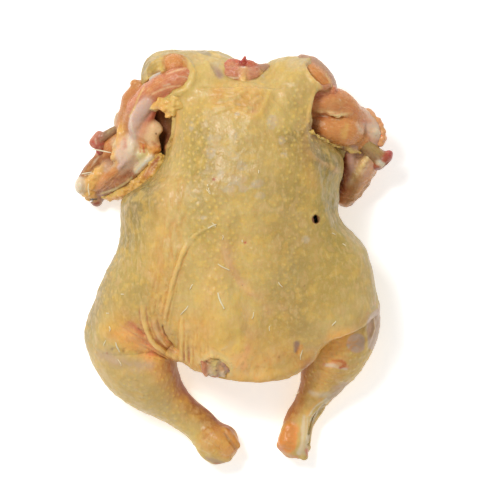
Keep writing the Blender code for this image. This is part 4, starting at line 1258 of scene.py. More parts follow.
leftWingMeat = {
    "block": ((-128, 20, 0), (-24, 146, 100)),
    "voxel": 0.7,
    "shapes": [
        (egg((-47.6, 128.4, 76.8), (9.6, 7.4, 6.8)), 1.5, "orangeMeat"),
        (limb([(-38.8, 120.2, 81.4, 7.2), (-46, 117.4, 82, 8.6), (-57, 112.6, 78, 8.8), (-67, 106, 71, 8.5),
               (-75, 98, 63, 8)]), 1, "salmon"),
        (limb([(-41, 112, 81, 4), (-50, 108, 81, 4.8), (-60, 104, 75, 5)]), 1, "strip"),
        (limb([(-68, 104, 66, 6), (-76, 95, 60, 6.5), (-80, 86, 54, 7), (-80, 77, 50, 6)]), 2, "outerMeat"),
        (limb([(-73, 112, 58, 6), (-78.5, 105, 55, 7.5), (-79.5, 96, 51, 9.5), (-82, 85, 46, 10)]), 2,
         "outerMeat"),
        (egg((-77.2, 115.6, 59), (3.6, 3, 3.4)), 1.5, "tan"),
        (egg((-72.6, 113.4, 61), (3.4, 3, 3)), 1.5, "tan"),
        (egg((-79, 110, 57), (3, 3.6, 4)), 1.5, "orangeMeat"),
        (limb([(-63.8, 105, 76, 4.2), (-67, 101.6, 75.5, 5.2), (-71, 95.6, 72, 5.8), (-75, 88.5, 67, 5.8),
               (-77, 81.5, 62, 5.2), (-76, 73, 57, 4)]), 0.8, "sheath"),
        (limb([(-62.6, 101, 72, 3.6), (-67, 91, 68.5, 4.6), (-69.8, 82, 65, 4.6), (-71, 74, 60, 4)]), 0.8,
         "strip"),
        (egg((-80.5, 67, 48), (12, 14.5, 13.5)), 3, "pink"),
        (limb([(-79, 76, 58, 3.5), (-79, 69, 60, 4), (-81, 62, 58, 3.4)]), 2, "pearl"),
        (limb([(-80, 63, 59, 2.8), (-84, 58.5, 56, 2.6), (-88.6, 54, 51, 1.8)]), 1, "sheath"),
        (limb([(-70, 84.6, 64, 4.6), (-65, 83.6, 66, 5.6), (-60.6, 82, 66.5, 3.8), (-58.6, 81, 66.5, 1.8)]),
         2, "peach"),
        (limb([(-69, 79, 63, 5.4), (-65.4, 77, 63.6, 5.6), (-63.6, 72.6, 61, 4.4)]), 4, "peach"),
        (limb([(-72, 74.5, 62, 2.4), (-71, 70, 61, 2.6)]), 1.5, "amber"),
        (egg((-63, 67.6, 58.5), (5, 5.6, 6)), 2, "amber"),
        (egg((-71.6, 63.6, 57), (6.4, 5.4, 5.6)), 2, "greenish"),
        (limb([(-65, 62, 60, 2.8), (-70.4, 57, 58.5, 3.2), (-75.3, 52, 55.5, 3)]), 1.5, "gristle"),
        (limb([(-77, 50, 53, 2.6), (-84, 43.6, 46, 1.8), (-94, 38.4, 36.5, 1.4), (-102, 35.6, 28, 1.1)]), 1.5,
         "brownMeat"),
        (limb([(-78, 58, 46, 10), (-84, 50.8, 41, 9.4), (-91.3, 45.8, 34, 8.6), (-98.5, 40.8, 26, 7),
               (-104.2, 37.4, 19, 4.8)]), 2, "brownMeat"),
        (limb([(-88, 54, 46, 4.6), (-94, 50.6, 42, 5), (-101, 44.6, 34, 4.6), (-106, 40.4, 27, 3.6)]), 1,
         "orangeMeat"),
        (egg((-97, 54.6, 36), (6.4, 6, 7)), 2, "membrane"),
        (limb([(-86, 76, 41, 8), (-95, 70, 37, 7.4), (-100, 64.4, 33, 6.6), (-103.4, 60.4, 30, 5.4)]), 1.5,
         "wingMeat"),
        (limb([(-98, 64, 36, 4), (-106.4, 58, 32, 4.6), (-112, 51.4, 27, 5), (-116, 47, 23, 4.4)]), 1,
         "brownMeat"),
        (limb([(-82.5, 90, 54.5, 2.2), (-86.3, 80, 53.5, 3.8), (-88.6, 72, 52, 4.2), (-90.4, 64, 49, 4),
               (-91.5, 58, 46.5, 3.6), (-89.4, 53, 46, 2)]), 2.5, "fat"),
        (limb([(-100, 54.6, 39, 2.6), (-104, 51, 36.5, 3.6), (-107, 47.6, 33, 4.2), (-110.4, 43, 28, 5.4),
               (-113, 37.6, 22, 6), (-110, 33, 17, 4)]), 2, "fat"),
        (egg((-118.4, 41, 27), (4.4, 6, 6.5)), 3, "pearl"),
        (limb([(-103, 36.4, 18, 4.4), (-106.4, 32, 14, 5), (-107, 29.6, 12, 4.4)]), 1, "plum"),
        (limb([(-55.5, 122.8, 81.6, 0.9), (-60, 121, 80.6, 1.4), (-65, 118, 77.4, 1.4)]), 1, "tendon"),
        (limb([(-90, 93, 50, 1.2), (-91.4, 87, 47, 1.6), (-90.4, 82.5, 46, 1.2)]), 1, "pearl"),
    ],
    "hollows": [(egg((-111.4, 30, 14), (4.4, 1.1, 5)), 0.6)],
    "lumps": [(7, 0.5, 70), (2.6, 0.22, 71)],
    "triangles": 150000,
    "stainsAndPaintedLight": [
        ("salmon", 3, 0.5, [(-42, 127, 1.5), (-50, 124, 1.5)]),
        ("peach", 1.2, 0.8, [(-37.6, 126, 0.3), (-46, 123.8, 0.4), (-54, 121, 0.3)]),
        # pale marks on the fan muscle: painted highlights
        ("pearl", 1.0, 0.7, [(-36.4, 117.4, 0.2), (-40, 118.8, 0.3), (-45, 119.4, 0.2)]),
        ("pearl", 1.0, 0.6, [(-37, 121, 0.3), (-39, 122.4, 0.2)]),
        ("peach", 1.4, 0.8, [(-43, 112.6, 0.3), (-52, 111.6, 0.6), (-58, 109.4, 0.6), (-64, 106.6, 0.4)]),
        ("pearl", 1.0, 0.6, [(-51, 113.8, 0.4), (-56, 112.4, 0.5)]),
        ("butter", 1.4, 0.8, [(-69.6, 113, 0.3), (-74, 105, 0.5), (-77, 98, 0.5), (-81, 91, 0.4)]),
        ("orangeMeat", 5, 0.5, [(-58, 117, 2), (-68, 109, 2)]),
        ("mauve", 3, 0.7, [(-94, 56.6, 2.4), (-99, 52, 2)]),
        ("lilac", 3, 0.6, [(-93, 74, 2), (-93, 70, 2)]),
        ("tan", 3, 0.7, [(-109, 57, 1.2), (-115.5, 49.6, 1.2)]),
        ("pearl", 1.4, 0.6, [(-104.6, 62, 0.5), (-110, 55.5, 0.5)]),
        ("boneBrown", 3, 0.7, [(-102, 68, 1.4), (-103.4, 62, 1.2)]),
        ("plum", 3, 0.6, [(-105, 34.6, 1.6), (-103, 35.6, 1.2)]),
        # black in the slit at the end of the stub: painted shade
        ("shadowBlack", 1.2, 1.0, [(-111, 30.4, 0.9), (-106.6, 30.8, 0.5)]),
        ("brick", 2, 0.9, [(-108.6, 27.6, 1.2), (-105.6, 28, 1)]),
        ("blood", 1.4, 0.8, [(-71.2, 70.5, 0.4), (-70.6, 65, 0.6)]),
        ("blood", 1.2, 0.6, [(-73.6, 68.5, 0.3), (-73, 64.6, 0.4)]),
        # pale spot in the red split: painted highlight
        ("pearl", 1.0, 0.9, [(-74, 72.8, 0.3), (-70.6, 71.8, 0.5)]),
        ("strip", 3, 0.5, [(-84.6, 74, 1), (-84, 69, 1.2)]),
        ("pearl", 1.6, 0.6, [(-80, 92, 0.5), (-79.4, 84, 0.8), (-77, 76, 0.7)]),
        ("peachy", 2, 0.7, [(-88, 78, 1), (-90, 68, 1)]),
        ("brown", 1.0, 0.9, [(-61.4, 78.2, 0.6)]),
        ("coral", 2, 0.6, [(-64, 72, 0.8), (-60.6, 69, 1)]),
        ("tendon", 2, 0.8, [(-66.5, 59.6, 1), (-71.5, 55, 1.2), (-76, 51, 0.8)]),
        ("yolk", 2, 0.5, [(-68, 62.6, 1), (-66, 65, 0.8)]),
        ("greenish", 1.6, 0.8, [(-80, 46, 0.8), (-86, 41.4, 0.7), (-94, 37.4, 0.7), (-103, 34.8, 0.7)]),
        ("lilac", 1.4, 0.7, [(-77.6, 58, 0.4), (-76.4, 53.4, 0.4)]),
        ("mauve", 4, 0.6, [(-80, 57, 1.6), (-84, 54, 2.2), (-88, 50, 1.6)]),
        ("orangeMeat", 4, 0.4, [(-84, 45, 1.2), (-94, 41, 1.2)]),
        ("ivory", 0.8, 0.9, [(-112.6, 38, 0.3), (-112, 32, 0.3)]),
        ("ivory", 0.8, 0.9, [(-115, 48.6, 0.3), (-108.6, 49.8, 0.3)]),
    ],
}
leftWingFat = {
    "block": ((-112, 20, 0), (-34, 120, 100)),
    "voxel": 0.7,
    "shapes": [
        (limb([(-59.4, 60.4, 60, 4.4), (-63, 53.6, 58, 5.8), (-69, 46.6, 52, 6.4), (-76, 41.4, 44, 6),
               (-84, 37, 36, 5.4), (-92, 34.4, 28, 4.6), (-100, 33.6, 20, 3.6)]), 2, "wingSkin"),
        *((egg(centre, (r, r * 0.9, r)), 2.5, shade) for centre, r, shade in (
            ((-64.4, 97.6, 75.5), 2.8, "paleFat"), ((-61, 99.2, 78), 3.6, "fat"),
            ((-62, 95.8, 76.4), 2.2, "paleFat"), ((-57, 98, 80), 3.8, "fat"),
            ((-57.4, 102.2, 80), 3.4, "fat"), ((-53, 101.4, 82.4), 4, "skinFat"),
            ((-53.4, 96, 81.2), 3.8, "fat"), ((-52.4, 91.6, 80), 3.2, "fat"),
            ((-48.4, 100, 84), 4.6, "skinFat"), ((-48.4, 94.4, 83.6), 3.8, "skinFat"),
            ((-48.6, 105, 84), 3.8, "skinFat"), ((-44.6, 104, 85.4), 3, "skinFat"),
            ((-44.4, 98, 85.2), 3, "skinFat"))),
    ],
    "lumps": [(3.2, 0.5, 70), (1.6, 0.3, 71)],
    "triangles": 60000,
    "stainsAndPaintedLight": [
        ("brick", 2.4, 0.85, [(-60, 61, 1.4), (-64.6, 54, 2), (-69.6, 47.6, 2)]),
        ("amber", 12, 0.5, [(-66, 50, 5), (-84, 37, 5)]),
        # pale lines along the red-brown furrow: painted highlights
        ("peach", 1, 0.8, [(-61.5, 57, 0.3), (-66, 51.6, 0.3)]),
        ("peach", 1, 0.7, [(-67.5, 53.6, 0.3), (-70.6, 47.6, 0.3)]),
        ("blush", 3, 0.6, [(-76, 36, 1), (-90, 31.5, 1), (-100, 31, 1)]),
        ("peachy", 2, 0.6, [(-72, 39.5, 0.6), (-82, 34.5, 0.8)]),
        ("amber", 3, 0.5, [(-50, 101, 1), (-58, 98, 1)]),
        ("peachy", 2, 0.5, [(-62, 97, 1), (-57, 95.6, 0.6)]),
    ],
}
rightWingMeat = {
    "block": ((40, 60, 20), (116, 146, 96)),
    "voxel": 0.7,
    "shapes": [
        (limb([(47, 131, 62, 6), (53, 127, 64, 7.6), (58, 121.5, 64, 8.4), (62, 116, 62, 8.4),
               (63.5, 109, 60, 8)]), 2, "membrane"),
        (limb([(46, 126.6, 70, 5), (54, 121.4, 71, 6.4), (61.6, 114.6, 68.6, 5.6)]), 2.5, "orangeMeat"),
        (limb([(49.4, 121, 78.6, 1.4), (53.6, 115.4, 79, 1.7), (58, 112, 77.6, 1.8), (62, 110.8, 75.6, 1.8),
               (66, 113, 73, 1.2)]), 1, "wingSkin"),
        (egg((67.2, 109.2, 68), (4.2, 4.6, 6)), 1, "strip"),
        (limb([(54, 108.6, 73.5, 4.6), (62, 108.4, 71.5, 4.4)]), 1, "strip"),
        (limb([(54, 101, 67, 9), (64, 102, 65, 10.6), (72, 101, 61.5, 10), (80, 96.4, 56, 8.5),
               (86, 90, 50, 7)]), 1.0, "wingMeat"),
        (limb([(55, 85, 60.5, 9), (66, 83, 59, 11), (76, 81.5, 55, 11.5), (81, 80.5, 51, 10.5)]), 0.8,
         "orangeMeat"),
        (limb([(57, 95.6, 72, 1.2), (65, 93.6, 71.4, 1.4), (71, 91.8, 69.4, 1.8), (76, 93, 65.6, 1.4),
               (84, 95, 58.6, 1)]), 2, "paleFat"),
        (limb([(84, 94, 46, 7), (92, 89, 44, 8), (97, 81, 40, 8.5), (96, 74, 36, 8.5)]), 2, "pink"),
        (limb([(83, 92, 52, 3), (88, 88, 52, 4), (87, 82, 52, 4)]), 1.5, "sheath"),
        (egg((85.6, 95, 50), (4.4, 3.4, 3.4)), 1, "strip"),
        (egg((88, 75, 42), (9, 8, 9)), 2, "orangeMeat"),
        (egg((88.6, 65.4, 36), (5, 4.4, 4)), 2, "membrane"),
        (limb([(98.6, 83, 46, 2.6), (99.6, 80.4, 46.4, 3.2), (101.6, 79, 45, 2.6)]), 0.8, "pearl"),
        (limb([(94, 84, 45, 2), (93.4, 79.6, 45, 2.4), (95.6, 76, 43.4, 2.4), (100, 74.6, 41.6, 2.4)]), 1.2,
         "strip"),
        (limb([(95, 88, 45, 1.8), (99.6, 86.6, 44.6, 1.8), (103, 83, 43.4, 1.6)]), 1, "strip"),
    ],
    "lumps": [(7, 0.55, 70), (2.6, 0.22, 71)],
    "triangles": 90000,
    "stainsAndPaintedLight": [
        # rust, dark maroon and brown at the lower lobe's left end darken the pocket there: painted shade
        ("rust", 8, 0.75, [(52, 84, 3), (57, 80, 3)]),
        ("pocketShadow", 6, 0.9, [(50.6, 89, 2), (52, 78, 3)]),
        ("brown", 5, 0.6, [(54, 93, 2), (55, 76, 3), (61, 73, 1.6)]),
        ("strip", 4, 0.55, [(56, 91.5, 1.5), (64, 90, 1.5)]),
        ("mauve", 3, 0.6, [(56, 77, 1.5), (66, 73, 1)]),
        ("blood", 1.2, 0.5, [(60, 95, 0.3), (67, 92.6, 0.4), (78, 94.4, 0.3)]),
        ("strip", 3, 0.5, [(52, 106, 1), (60, 103, 1)]),
        ("tan", 4, 0.6, [(64, 103, 2), (74, 101, 2)]),
        ("yolk", 3, 0.4, [(78, 84, 2), (76, 76, 2)]),
        # small pale spots on the lower and upper lobes: painted highlights
        ("pearl", 1.0, 0.7, [(59.5, 91.4, 0.4), (64, 90.6, 0.5)]),
        ("pearl", 1.0, 0.7, [(67, 88.6, 0.4), (73, 88.4, 0.4)]),
        ("pearl", 1.0, 0.6, [(72.5, 103.4, 0.5), (73.5, 102.6, 0.5)]),
        ("butter", 2, 0.6, [(63, 122, 0.5), (65.5, 116, 0.5)]),
        ("strip", 5, 0.4, [(78, 99, 1), (86, 94, 1)]),
        ("coral", 3, 0.5, [(90, 88, 1), (96, 88, 1.5)]),
        ("pearl", 3, 0.5, [(86, 86, 1), (90, 80, 1.5)]),
    ],
}
rightWingFat = {
    "block": ((42, 16, 0), (118, 112, 96)),
    "voxel": 0.7,
    "shapes": [
        (limb([(47.6, 79.6, 89.6, 1.2), (51.4, 78.6, 87.6, 1.6), (56, 76, 79, 1.8), (61, 73, 68, 1.9),
               (66, 71.6, 59, 2), (72, 69.4, 54, 2), (78, 68.2, 50, 2), (83, 66, 46.6, 2),
               (88.6, 65.4, 43.6, 1.6)]), 1.5,
         "wingSkin"),
        (limb([(60, 76, 52, 4), (72, 73, 48, 5), (84, 70.5, 44, 5)]), 1.5, "flapPink"),
        *((egg(tuple(place), (size, size, size)), 0.7, shade) for place, size, shade in zip(
            smoothRows([(87, 98, 46), (95.4, 93, 45.6), (102.6, 86.8, 44), (105.4, 78, 42), (103, 70.4, 39)],
                       4),
            (2.2, 2.9, 2.5, 3.0) * 4, ("joint", "blush", "fat", "blush") * 4)),
        (egg((95, 92, 43), (5, 5, 4)), 3, "pink"),
        (limb([(102, 78, 37, 6), (100, 86, 37, 6)]), 3, "blush"),
        (limb([(96, 60, 30, 8.6), (90, 50, 25, 9.6), (83, 38, 18, 8.4), (78.6, 30, 13, 5)], tall=1.25), 2,
         "flapSkin"),
        (limb([(81, 66, 34, 6), (81, 54, 29, 7), (79.4, 40, 22, 6), (77, 31, 15, 5)], tall=1.25), 2,
         "flapPink"),
        (limb([(94, 62, 41, 1.2), (90.6, 56, 38.6, 1.8), (86, 48.6, 34.6, 1.8), (81, 41, 29, 1.6)]), 3,
         "paleFat"),
        (limb([(98.6, 58, 37, 3.6), (94, 50, 33.6, 4.2), (87.4, 42, 27.6, 4), (82, 35, 21.6, 3)]), 2.5,
         "flapPink"),
        (limb([(85, 34, 15, 3.4), (82, 29, 12, 3.6)]), 1.5, "plum"),
    ],
    "lumps": [(5, 0.7, 70), (2.2, 0.4, 71)],
    "triangles": 80000,
    "stainsAndPaintedLight": [
        ("butter", 1.4, 0.8, [(55, 80, 0.5), (62, 74.6, 0.6), (72, 72, 0.6), (82, 67, 0.6)]),
        ("amber", 4, 0.6, [(100, 52, 1), (91, 40, 1), (85, 33, 1)]),
        # dark maroon and brick along the gap inside the flap: painted shade
        ("pocketShadow", 4, 0.95, [(76, 68, 2), (76, 50, 2), (74.6, 37, 1.6)]),
        ("brick", 6, 0.7, [(78.6, 62, 1.6), (78.6, 46, 1.6), (75, 32, 1.6)]),
        ("rust", 5, 0.5, [(77, 30, 2), (82, 38, 2)]),
        ("mauve", 5, 0.5, [(86, 62, 2), (85, 56, 2)]),
        ("pearl", 2, 0.4, [(95, 56, 0.6), (90, 49, 0.8)]),
        ("strip", 3, 0.5, [(92, 92.6, 0.8), (99, 86, 1), (101, 77, 1)]),
    ],
}
neckMeat = {
    "block": ((-24, 106, 50), (26, 142, 96)),
    "voxel": 0.6,
    "shapes": [
        (limb([(-9, 121.6, 76, 6.2), (1, 120.6, 77.4, 6.8), (10, 121.6, 75.6, 5.8)]), 1, "neckTan"),
        (limb([(-8.6, 124.6, 75.6, 4.4), (-7, 128.4, 73, 4.4), (-2.4, 129, 72, 3.6)]), 1.5, "coral"),
        (egg((-5.5, 127.5, 76.5), (3.2, 2.6, 2)), 1, "blush"),
        (egg((-1.6, 127, 76.5), (2, 3, 2)), 0.8, "neckRed"),
        (limb([(4.6, 128.4, 71.5, 4), (8, 127.4, 72.5, 4.4), (10.4, 124.5, 73.6, 4)]), 1.5, "neckRed"),
        (egg((7.4, 126, 76.2), (2.8, 2.4, 1.8)), 1, "coral"),
        (limb([(2.2, 127.5, 74.5, 2.8), (2.8, 131, 74, 2.2), (3.8, 135.6, 72, 0.5)]), 1.0, "blood"),
        (limb([(2.2, 116.4, 82.6, 2.8), (2.4, 120.5, 82, 2.4), (2.8, 124.2, 80, 1.8)]), 2, "fold"),
        (limb([(1.4, 124.6, 80, 0.9), (6, 123.8, 79.6, 0.8)]), 0.8, "butter"),
        (limb([(14.6, 122, 76, 2), (16, 119.6, 76.6, 2)]), 1.5, "butter"),
        (limb([(9, 124, 73, 4), (14.6, 125.4, 71.6, 3.8), (18.8, 126.6, 70, 3.2)]), 2, "membrane"),
    ],
    "lumps": [(4, 0.6, 70), (1.7, 0.4, 71)],
    "triangles": 40000,
    "stainsAndPaintedLight": [
        ("ivory", 1, 0.95, [(1.4, 126.9, 0.6), (3.4, 126.6, 0.7)]),
        # black at the foot of the spike: painted shade
        ("shadowBlack", 3, 0.4, [(2, 129.6, 0.8), (2.8, 128.6, 0.8)]),
        ("blood", 3, 0.4, [(-9, 124, 1), (-3, 125, 1)]),
        ("crimson", 2, 0.9, [(1, 130.4, 1.4), (2.4, 128.6, 1.8), (3.6, 132, 1)]),
        ("rust", 3, 0.5, [(6, 131.4, 1), (10.6, 128.4, 1)]),
        # pale line across the lower band: painted highlight
        ("pearl", 1.2, 0.9, [(-8.6, 119.4, 0.3), (-5, 118.6, 0.5), (-1.4, 118.4, 0.3)]),
        ("strip", 2, 0.5, [(-8, 121, 0.6), (-2, 121, 0.8)]),
        ("strip", 2, 0.4, [(8, 121.6, 0.8), (12, 120.4, 0.8)]),
        ("plum", 2, 0.6, [(-14.6, 124.6, 1.2), (-14, 121.6, 1)]),
    ],
}
tailMeat = {
    "block": ((-34, -108, 54), (0, -78, 88)),
    "voxel": 0.5,
    "shapes": [
        (egg((-17.6, -91.4, 73.7), (11, 9, 5.4), (14, 0, 0)), 1, "greyTan"),
        (limb([(-27, -88.6, 78.3, 1.6), (-25.8, -93, 77.7, 2.2), (-25, -97.6, 75.3, 2)]), 2, "tailRed"),
        (limb([(-24.2, -86.4, 80.3, 1.8), (-21.8, -87, 80.7, 1.6)]), 2, "tailRed"),
        (limb([(-20.4, -87, 79.9, 2.4), (-18.6, -90, 79.3, 2)]), 1.5, "crumb"),
        (egg((-17.2, -86.8, 79.4), (3.6, 2.6, 2)), 1.5, "crumb"),
        (limb([(-15.6, -87.2, 79.9, 1.2), (-12, -90.4, 78.9, 1.6), (-9.2, -94.6, 76.7, 1.8)]), 1.5, "plum"),
        (egg((-13.6, -92.8, 76.9), (2.6, 2.6, 1.6)), 1.5, "amber"),
        (limb([(-17, -91.8, 78.5, 0.8), (-16.6, -95, 77.7, 0.8), (-16.2, -98.4, 75.9, 0.8)]), 1, "plum"),
        (limb([(-18.6, -94, 77.9, 1.4), (-18.2, -96.6, 76.5, 1.4)]), 1.5, "crumb"),
        (limb([(-24, -97.4, 75.7, 0.8), (-23, -95.4, 76.7, 0.8), (-21.4, -95.6, 76.9, 0.8),
               (-20.8, -98.2, 75.7, 0.8)]), 1, "pearl"),
        (limb([(-13, -96.4, 76.3, 1.8), (-12, -98.8, 75.1, 1.6)]), 1.5, "lilac"),
    ],
    "lumps": [(2.4, 0.45, 70), (1.2, 0.35, 71)],
    "triangles": 30000,
    "stainsAndPaintedLight": [
        ("blood", 1.4, 0.75, [(-19.6, -100, 0.6), (-18, -100.2, 0.6)]),
        ("blood", 1.0, 0.6, [(-16.4, -98.6, 0.4), (-16.2, -101, 0.4)]),
        ("blood", 1.2, 0.6, [(-13, -101.6, 0.4), (-10.4, -101.8, 0.4)]),
        ("brown", 1.0, 0.8, [(-17.3, -94.7, 0.5), (-17.1, -95.1, 0.5)]),
        ("mauve", 2, 0.5, [(-20, -94, 0.6), (-15, -97, 0.6)]),
        ("brown", 2, 0.4, [(-22.6, -98.4, 0.5)]),
    ],
}
leftBone = {
    "block": ((-120, 52, 22), (-74, 102, 72)),
    "voxel": 0.6,
    "shapes": [
        (limb([(-84, 87, 48, 3), (-93, 81.5, 45, 2.8), (-103, 75.5, 41.5, 3.4)]), 2, "boneBrown"),
        (limb([(-104, 77, 41, 4), (-107, 72.5, 40, 4.4)]), 1.5, "bonePink"),
        (limb([(-103.5, 71, 39.5, 4), (-103, 66.5, 38, 3.6)]), 1.5, "boneRed"),
    ],
    "hollows": [(egg((-110.5, 69, 44), (3, 3.5, 3)), 1)],
    "lumps": [(3, 0.25, 70), (1.4, 0.1, 71)],
    "triangles": 12000,
    "stainsAndPaintedLight": [
        ("boneOlive", 3, 0.6, [(-92, 84, 1), (-98, 80, 1)]),
        ("blood", 2, 0.5, [(-109, 75, 0.8), (-108, 69, 0.8)]),
        ("brown", 2, 0.6, [(-102, 70, 1), (-103, 64, 1.4)]),
        ("pearl", 1.4, 0.5, [(-107, 74.5, 0.5), (-106, 71.5, 0.4)]),
    ],
}
rightBone = {
    "block": ((76, 40, 16), (122, 92, 66)),
    "voxel": 0.6,
    "shapes": [
        (limb([(87, 77, 45, 4.8), (93, 70.5, 42, 5.4), (99, 64.5, 39, 6), (104, 60, 37, 6.6)]), 2,
         "boneOlive"),
        (egg((105.5, 59.4, 36.5), (9.6, 5, 8), (0, 0, 42)), 1.5, "boneRed"),
    ],
    "hollows": [(egg((108.5, 56, 38), (4, 2.4, 4), (0, 0, 42)), 1)],
    "lumps": [(3, 0.25, 70), (1.4, 0.1, 71)],
    "triangles": 14000,
    "stainsAndPaintedLight": [
        ("boneBrown", 6, 0.9, [(90, 68, 1.5), (97, 61.5, 3), (101, 60, 3)]),
        ("blood", 3, 0.7, [(108, 67, 1.5), (112, 62, 1.5), (110, 56, 1.5)]),
        ("plum", 3, 0.5, [(98, 55, 1), (104, 52, 1)]),
        ("pearl", 2.2, 0.95, [(101.5, 57.4, 1.6), (105, 56, 2.2)]),
        ("tendon", 1.6, 0.6, [(103, 58.5, 1), (105, 57, 1)]),
    ],
}

# Quills, hairs and threads: both ends seen from above in mm, and the thickness
quills = {
    "ends": [
        (-16.3, -17, -8.1, -21.5, 0.45), (-16.3, -37.7, -11.8, -49.6, 0.65), (-37.7, -47.4, -42.9, -54, 0.45),
        (-34, -31.8, -37, -35.5, 0.4), (-87.3, -39.2, -84.4, -39.2, 0.4), (-98.4, -53.3, -96.2, -53.3, 0.4),
        (-99.2, -73.3, -99.9, -77.7, 0.4), (-91, -74.7, -88.8, -82.1, 0.55),
        (-95.5, -62.9, -95.5, -66.6, 0.4), (-89.5, -87.3, -87.3, -92.5, 0.3), (-23.7, 8.9, -17, 11.8, 0.45),
        (-20, 13, -17.5, 9.5, 0.35), (45.1, -79.9, 44.4, -87.3, 0.4), (69.6, -58.5, 67.3, -62.2, 0.4),
        (38.5, -113.2, 44, -110.4, 0.25), (10.5, -52, 8.5, -57, 0.35), (28, -30, 30.5, -34, 0.35),
        (22, -62, 21, -66, 0.3), (-107, 66.4, -93.6, 64, 0.45), (-24.6, 36.8, -21, 33.6, 0.3),
        (-22.6, 38.4, -21.8, 34.6, 0.3), (-24, 40.6, -22.8, 39.4, 0.35), (13, 51, 14, 48.6, 0.4),
        (-12.6, 4, -12.2, 0.6, 0.3), (1.2, 0.6, 2.2, -1.2, 0.35), (67.4, 5.6, 69.6, 4, 0.35),
        (75, -2.4, 77.6, -4, 0.35), (-111, 41.6, -110.2, 33.6, 0.35), (-115.6, 48.6, -108.6, 50, 0.4),
    ],
    "steps": 6,
    "sides": 8,
    "lift": 0.9,
}


def strandTree(tree, given):
    wires = tree.node("GeometryNodeMeshToCurve", {}, {"Mesh": given["Geometry"]})
    thick = tree.node("GeometryNodeInputNamedAttribute", {"data_type": "FLOAT"}, {"Name": "thick"})
    ring = tree.node("GeometryNodeCurvePrimitiveCircle", {}, {"Resolution": given["Sides"], "Radius": 1.0})
    values = {"Curve": wires, "Profile Curve": ring, "Scale": thick, "Fill Caps": True}
    return tree.node("GeometryNodeCurveToMesh", {}, values)


# Strands drawn over a surface as thin tubes, a little thicker in the middle
def strands(name, plan, ground, finish):
    points, edges, thick, height = [], [], [], 20.0
    for x1, y1, x2, y2, radius in plan["ends"]:
        for step in range(plan["steps"] + 1):
            t = step / plan["steps"]
            x, y = x1 + (x2 - x1) * t + 0.4 * math.sin(5 * t + x1), y1 + (y2 - y1) * t
            hit = ground.ray_cast(Vector((x, y, 300)), Vector((0, 0, -1)))[0]
            height = hit.z if hit else height
            if step:
                edges.append((len(points) - 1, len(points)))
            points.append((x, y, height + plan["lift"] * (t - 0.15)))
            thick.append(radius * (0.55 + 0.45 * math.sin(math.pi * (0.15 + 0.8 * t))) * mm)
    item = meshFrom(name, points, [], edges)
    store(item, "thick", np.array(thick))
    kinds = {"Sides": "NodeSocketInt", "Material": "NodeSocketMaterial"}
    return grown(item, name, kinds, strandTree, {"Sides": plan["sides"], "Material": finish})


def quillLook(tree):
    cloud = tree.noise(tree.place(), 0.0015, 2.0)
    return tree.mix(cloud, (226, 206, 150), (240, 232, 206)), cloud * 0.2 + 0.3, cloud * 0.2


def boneLook(tree):
    cloud, fine = tree.noise(tree.place(), 0.0035, 3.0), tree.noise(tree.attribute("grain", 1), 0.0009, 2.0)
    colour = tree.mix(tree.ramp(cloud, 0.45, 0.75) * 0.35, tree.attribute("tint"), (196, 172, 128))
    colour = tree.mix(tree.ramp(fine, 0.5, 0.75) * 0.3, colour, (120, 84, 58))
    return colour, tree.ramp(cloud, 0.3, 0.8, 0.25, 0.42), cloud * 0.3 + fine * 0.3


def floorLook(tree):
    cloud = tree.noise(tree.place(), 0.4, 1.0)
    return tree.mix(cloud, (252, 252, 252), (255, 255, 255)), cloud * 0.05 + 0.75, cloud * 0.01


softFlesh = {"Subsurface Weight": 0.22, "Subsurface Radius": (1.0, 0.45, 0.2), "Subsurface Scale": 0.004}
finishes = {
    "skin": material("skin", skinLook, **softFlesh, IOR=1.42),
    "meat": material("meat", meatLook, **softFlesh, IOR=1.42),
    "bone": material("bone", boneLook, **{"Subsurface Weight": 0.1, "Subsurface Scale": 0.002, "IOR": 1.5}),
    "quill": material("quill", quillLook, IOR=1.5),
}


def skinned(name, flesh, most, fine):
    item = meshFrom(name, *flesh.surface())
    refined(item, fine)
    print(name, "before thinning", triangleCount(item))
    under = fade(-normalsOf(item)[:, 2], -0.25, 0.1) * (pointsOf(item)[:, 2] < skin["thinBelow"])
    thinned(item, most, under)
    skinRelief(item)
    kinds = {"Spacing": "NodeSocketFloat", "Radius": "NodeSocketFloat", "Height": "NodeSocketFloat",
             "Seed": "NodeSocketInt", "Material": "NodeSocketMaterial"}
    given = {key: value for key, value in follicles.items() if key in kinds}
    grown(item, name + "_follicles", kinds, follicleTree, {**given, "Material": finishes["skin"]})
    paintSkin(item)
    return item


bird = [skinned("skin", openSkin(bodyFlesh()), skin["triangles"], skin["fine"])]
bird += [skinned(name, legFlesh(plan), plan["triangles"], []) for name, plan in legs.items()]
corners, sides = [], []
for item in bird:
    sides += [[len(corners) + index for index in face.vertices] for face in item.data.polygons]
    corners += pointsOf(item).tolist()
ground = BVHTree.FromPolygons(corners, sides)
feathers = strands("quills", quills, ground, finishes["quill"])
for item in bird:
    handIn(item, finishes["skin"])
handIn(feathers, finishes["quill"])

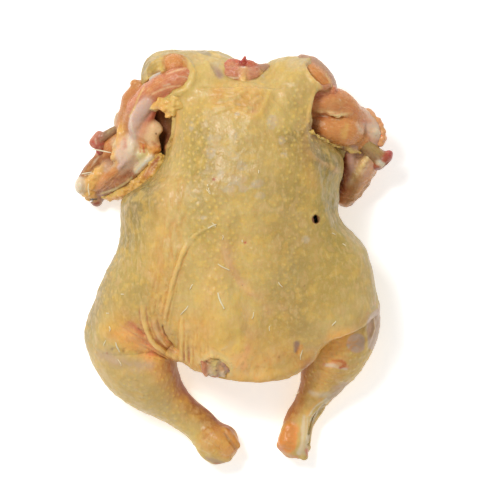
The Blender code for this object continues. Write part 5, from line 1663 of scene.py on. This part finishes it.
for name, plan in (
    ("left_wing_meat", leftWingMeat),
    ("left_wing_fat", leftWingFat),
    ("right_wing_meat", rightWingMeat),
    ("right_wing_skin", rightWingFat),
    ("neck_meat", neckMeat),
    ("tail_meat", tailMeat),
):
    handIn(fleshPiece(name, plan), finishes["meat"])
handIn(fleshPiece("left_bone", leftBone), finishes["bone"], "wing_bone_left")
handIn(fleshPiece("right_bone", rightBone), finishes["bone"], "wing_bone_right")

# Floor, light and camera: straight down over the back, as the photo was taken
studio = {
    "floor": 3000.0,  # mm
    "floorGlow": 0.45,
    "sky": 0.5,
    "skyColour": (1.0, 0.995, 0.985, 1),
    "target": (0, 0, 0.05),
    "lamps": [
        {"name": "softbox", "place": (-0.7, 0.75, 1.75), "size": 0.6, "power": 20.0},
        {"name": "spark", "place": (-0.5, 0.55, 1.5), "size": 0.05, "power": 2.0},
    ],
    "camera": {"height": 3.0, "lens": 299.5, "sensor": 36.0},
}
half = studio["floor"] / 2
floor = meshFrom("floor", [(-half, -half, 0), (half, -half, 0), (half, half, 0), (-half, half, 0)],
                 [(0, 1, 2, 3)])
glow = {"Emission Color": (1, 1, 1, 1), "Emission Strength": studio["floorGlow"]}
floor.data.materials.append(material("floor", floorLook, **glow))

world = bpy.data.worlds.new("studio")
world.use_nodes = True
sky = world.node_tree.nodes["Background"].inputs
sky[0].default_value, sky[1].default_value = studio["skyColour"], studio["sky"]
bpy.context.scene.world = world
for plan in studio["lamps"]:
    lampData = bpy.data.lights.new(plan["name"], "AREA")
    lampData.energy, lampData.size = plan["power"], plan["size"]
    lamp = linked(plan["name"], lampData)
    lamp.location = plan["place"]
    lamp.rotation_mode = "QUATERNION"
    lamp.rotation_quaternion = (Vector(studio["target"]) - lamp.location).to_track_quat("-Z", "Y")

cameraData = bpy.data.cameras.new("camera")
cameraData.lens, cameraData.sensor_width = studio["camera"]["lens"], studio["camera"]["sensor"]
camera = linked("camera", cameraData)
camera.location = (birdShift[0] * mm, birdShift[1] * mm, studio["camera"]["height"])
bpy.context.scene.camera = camera
bpy.context.scene.view_settings.view_transform = "Standard"
print("stage set")
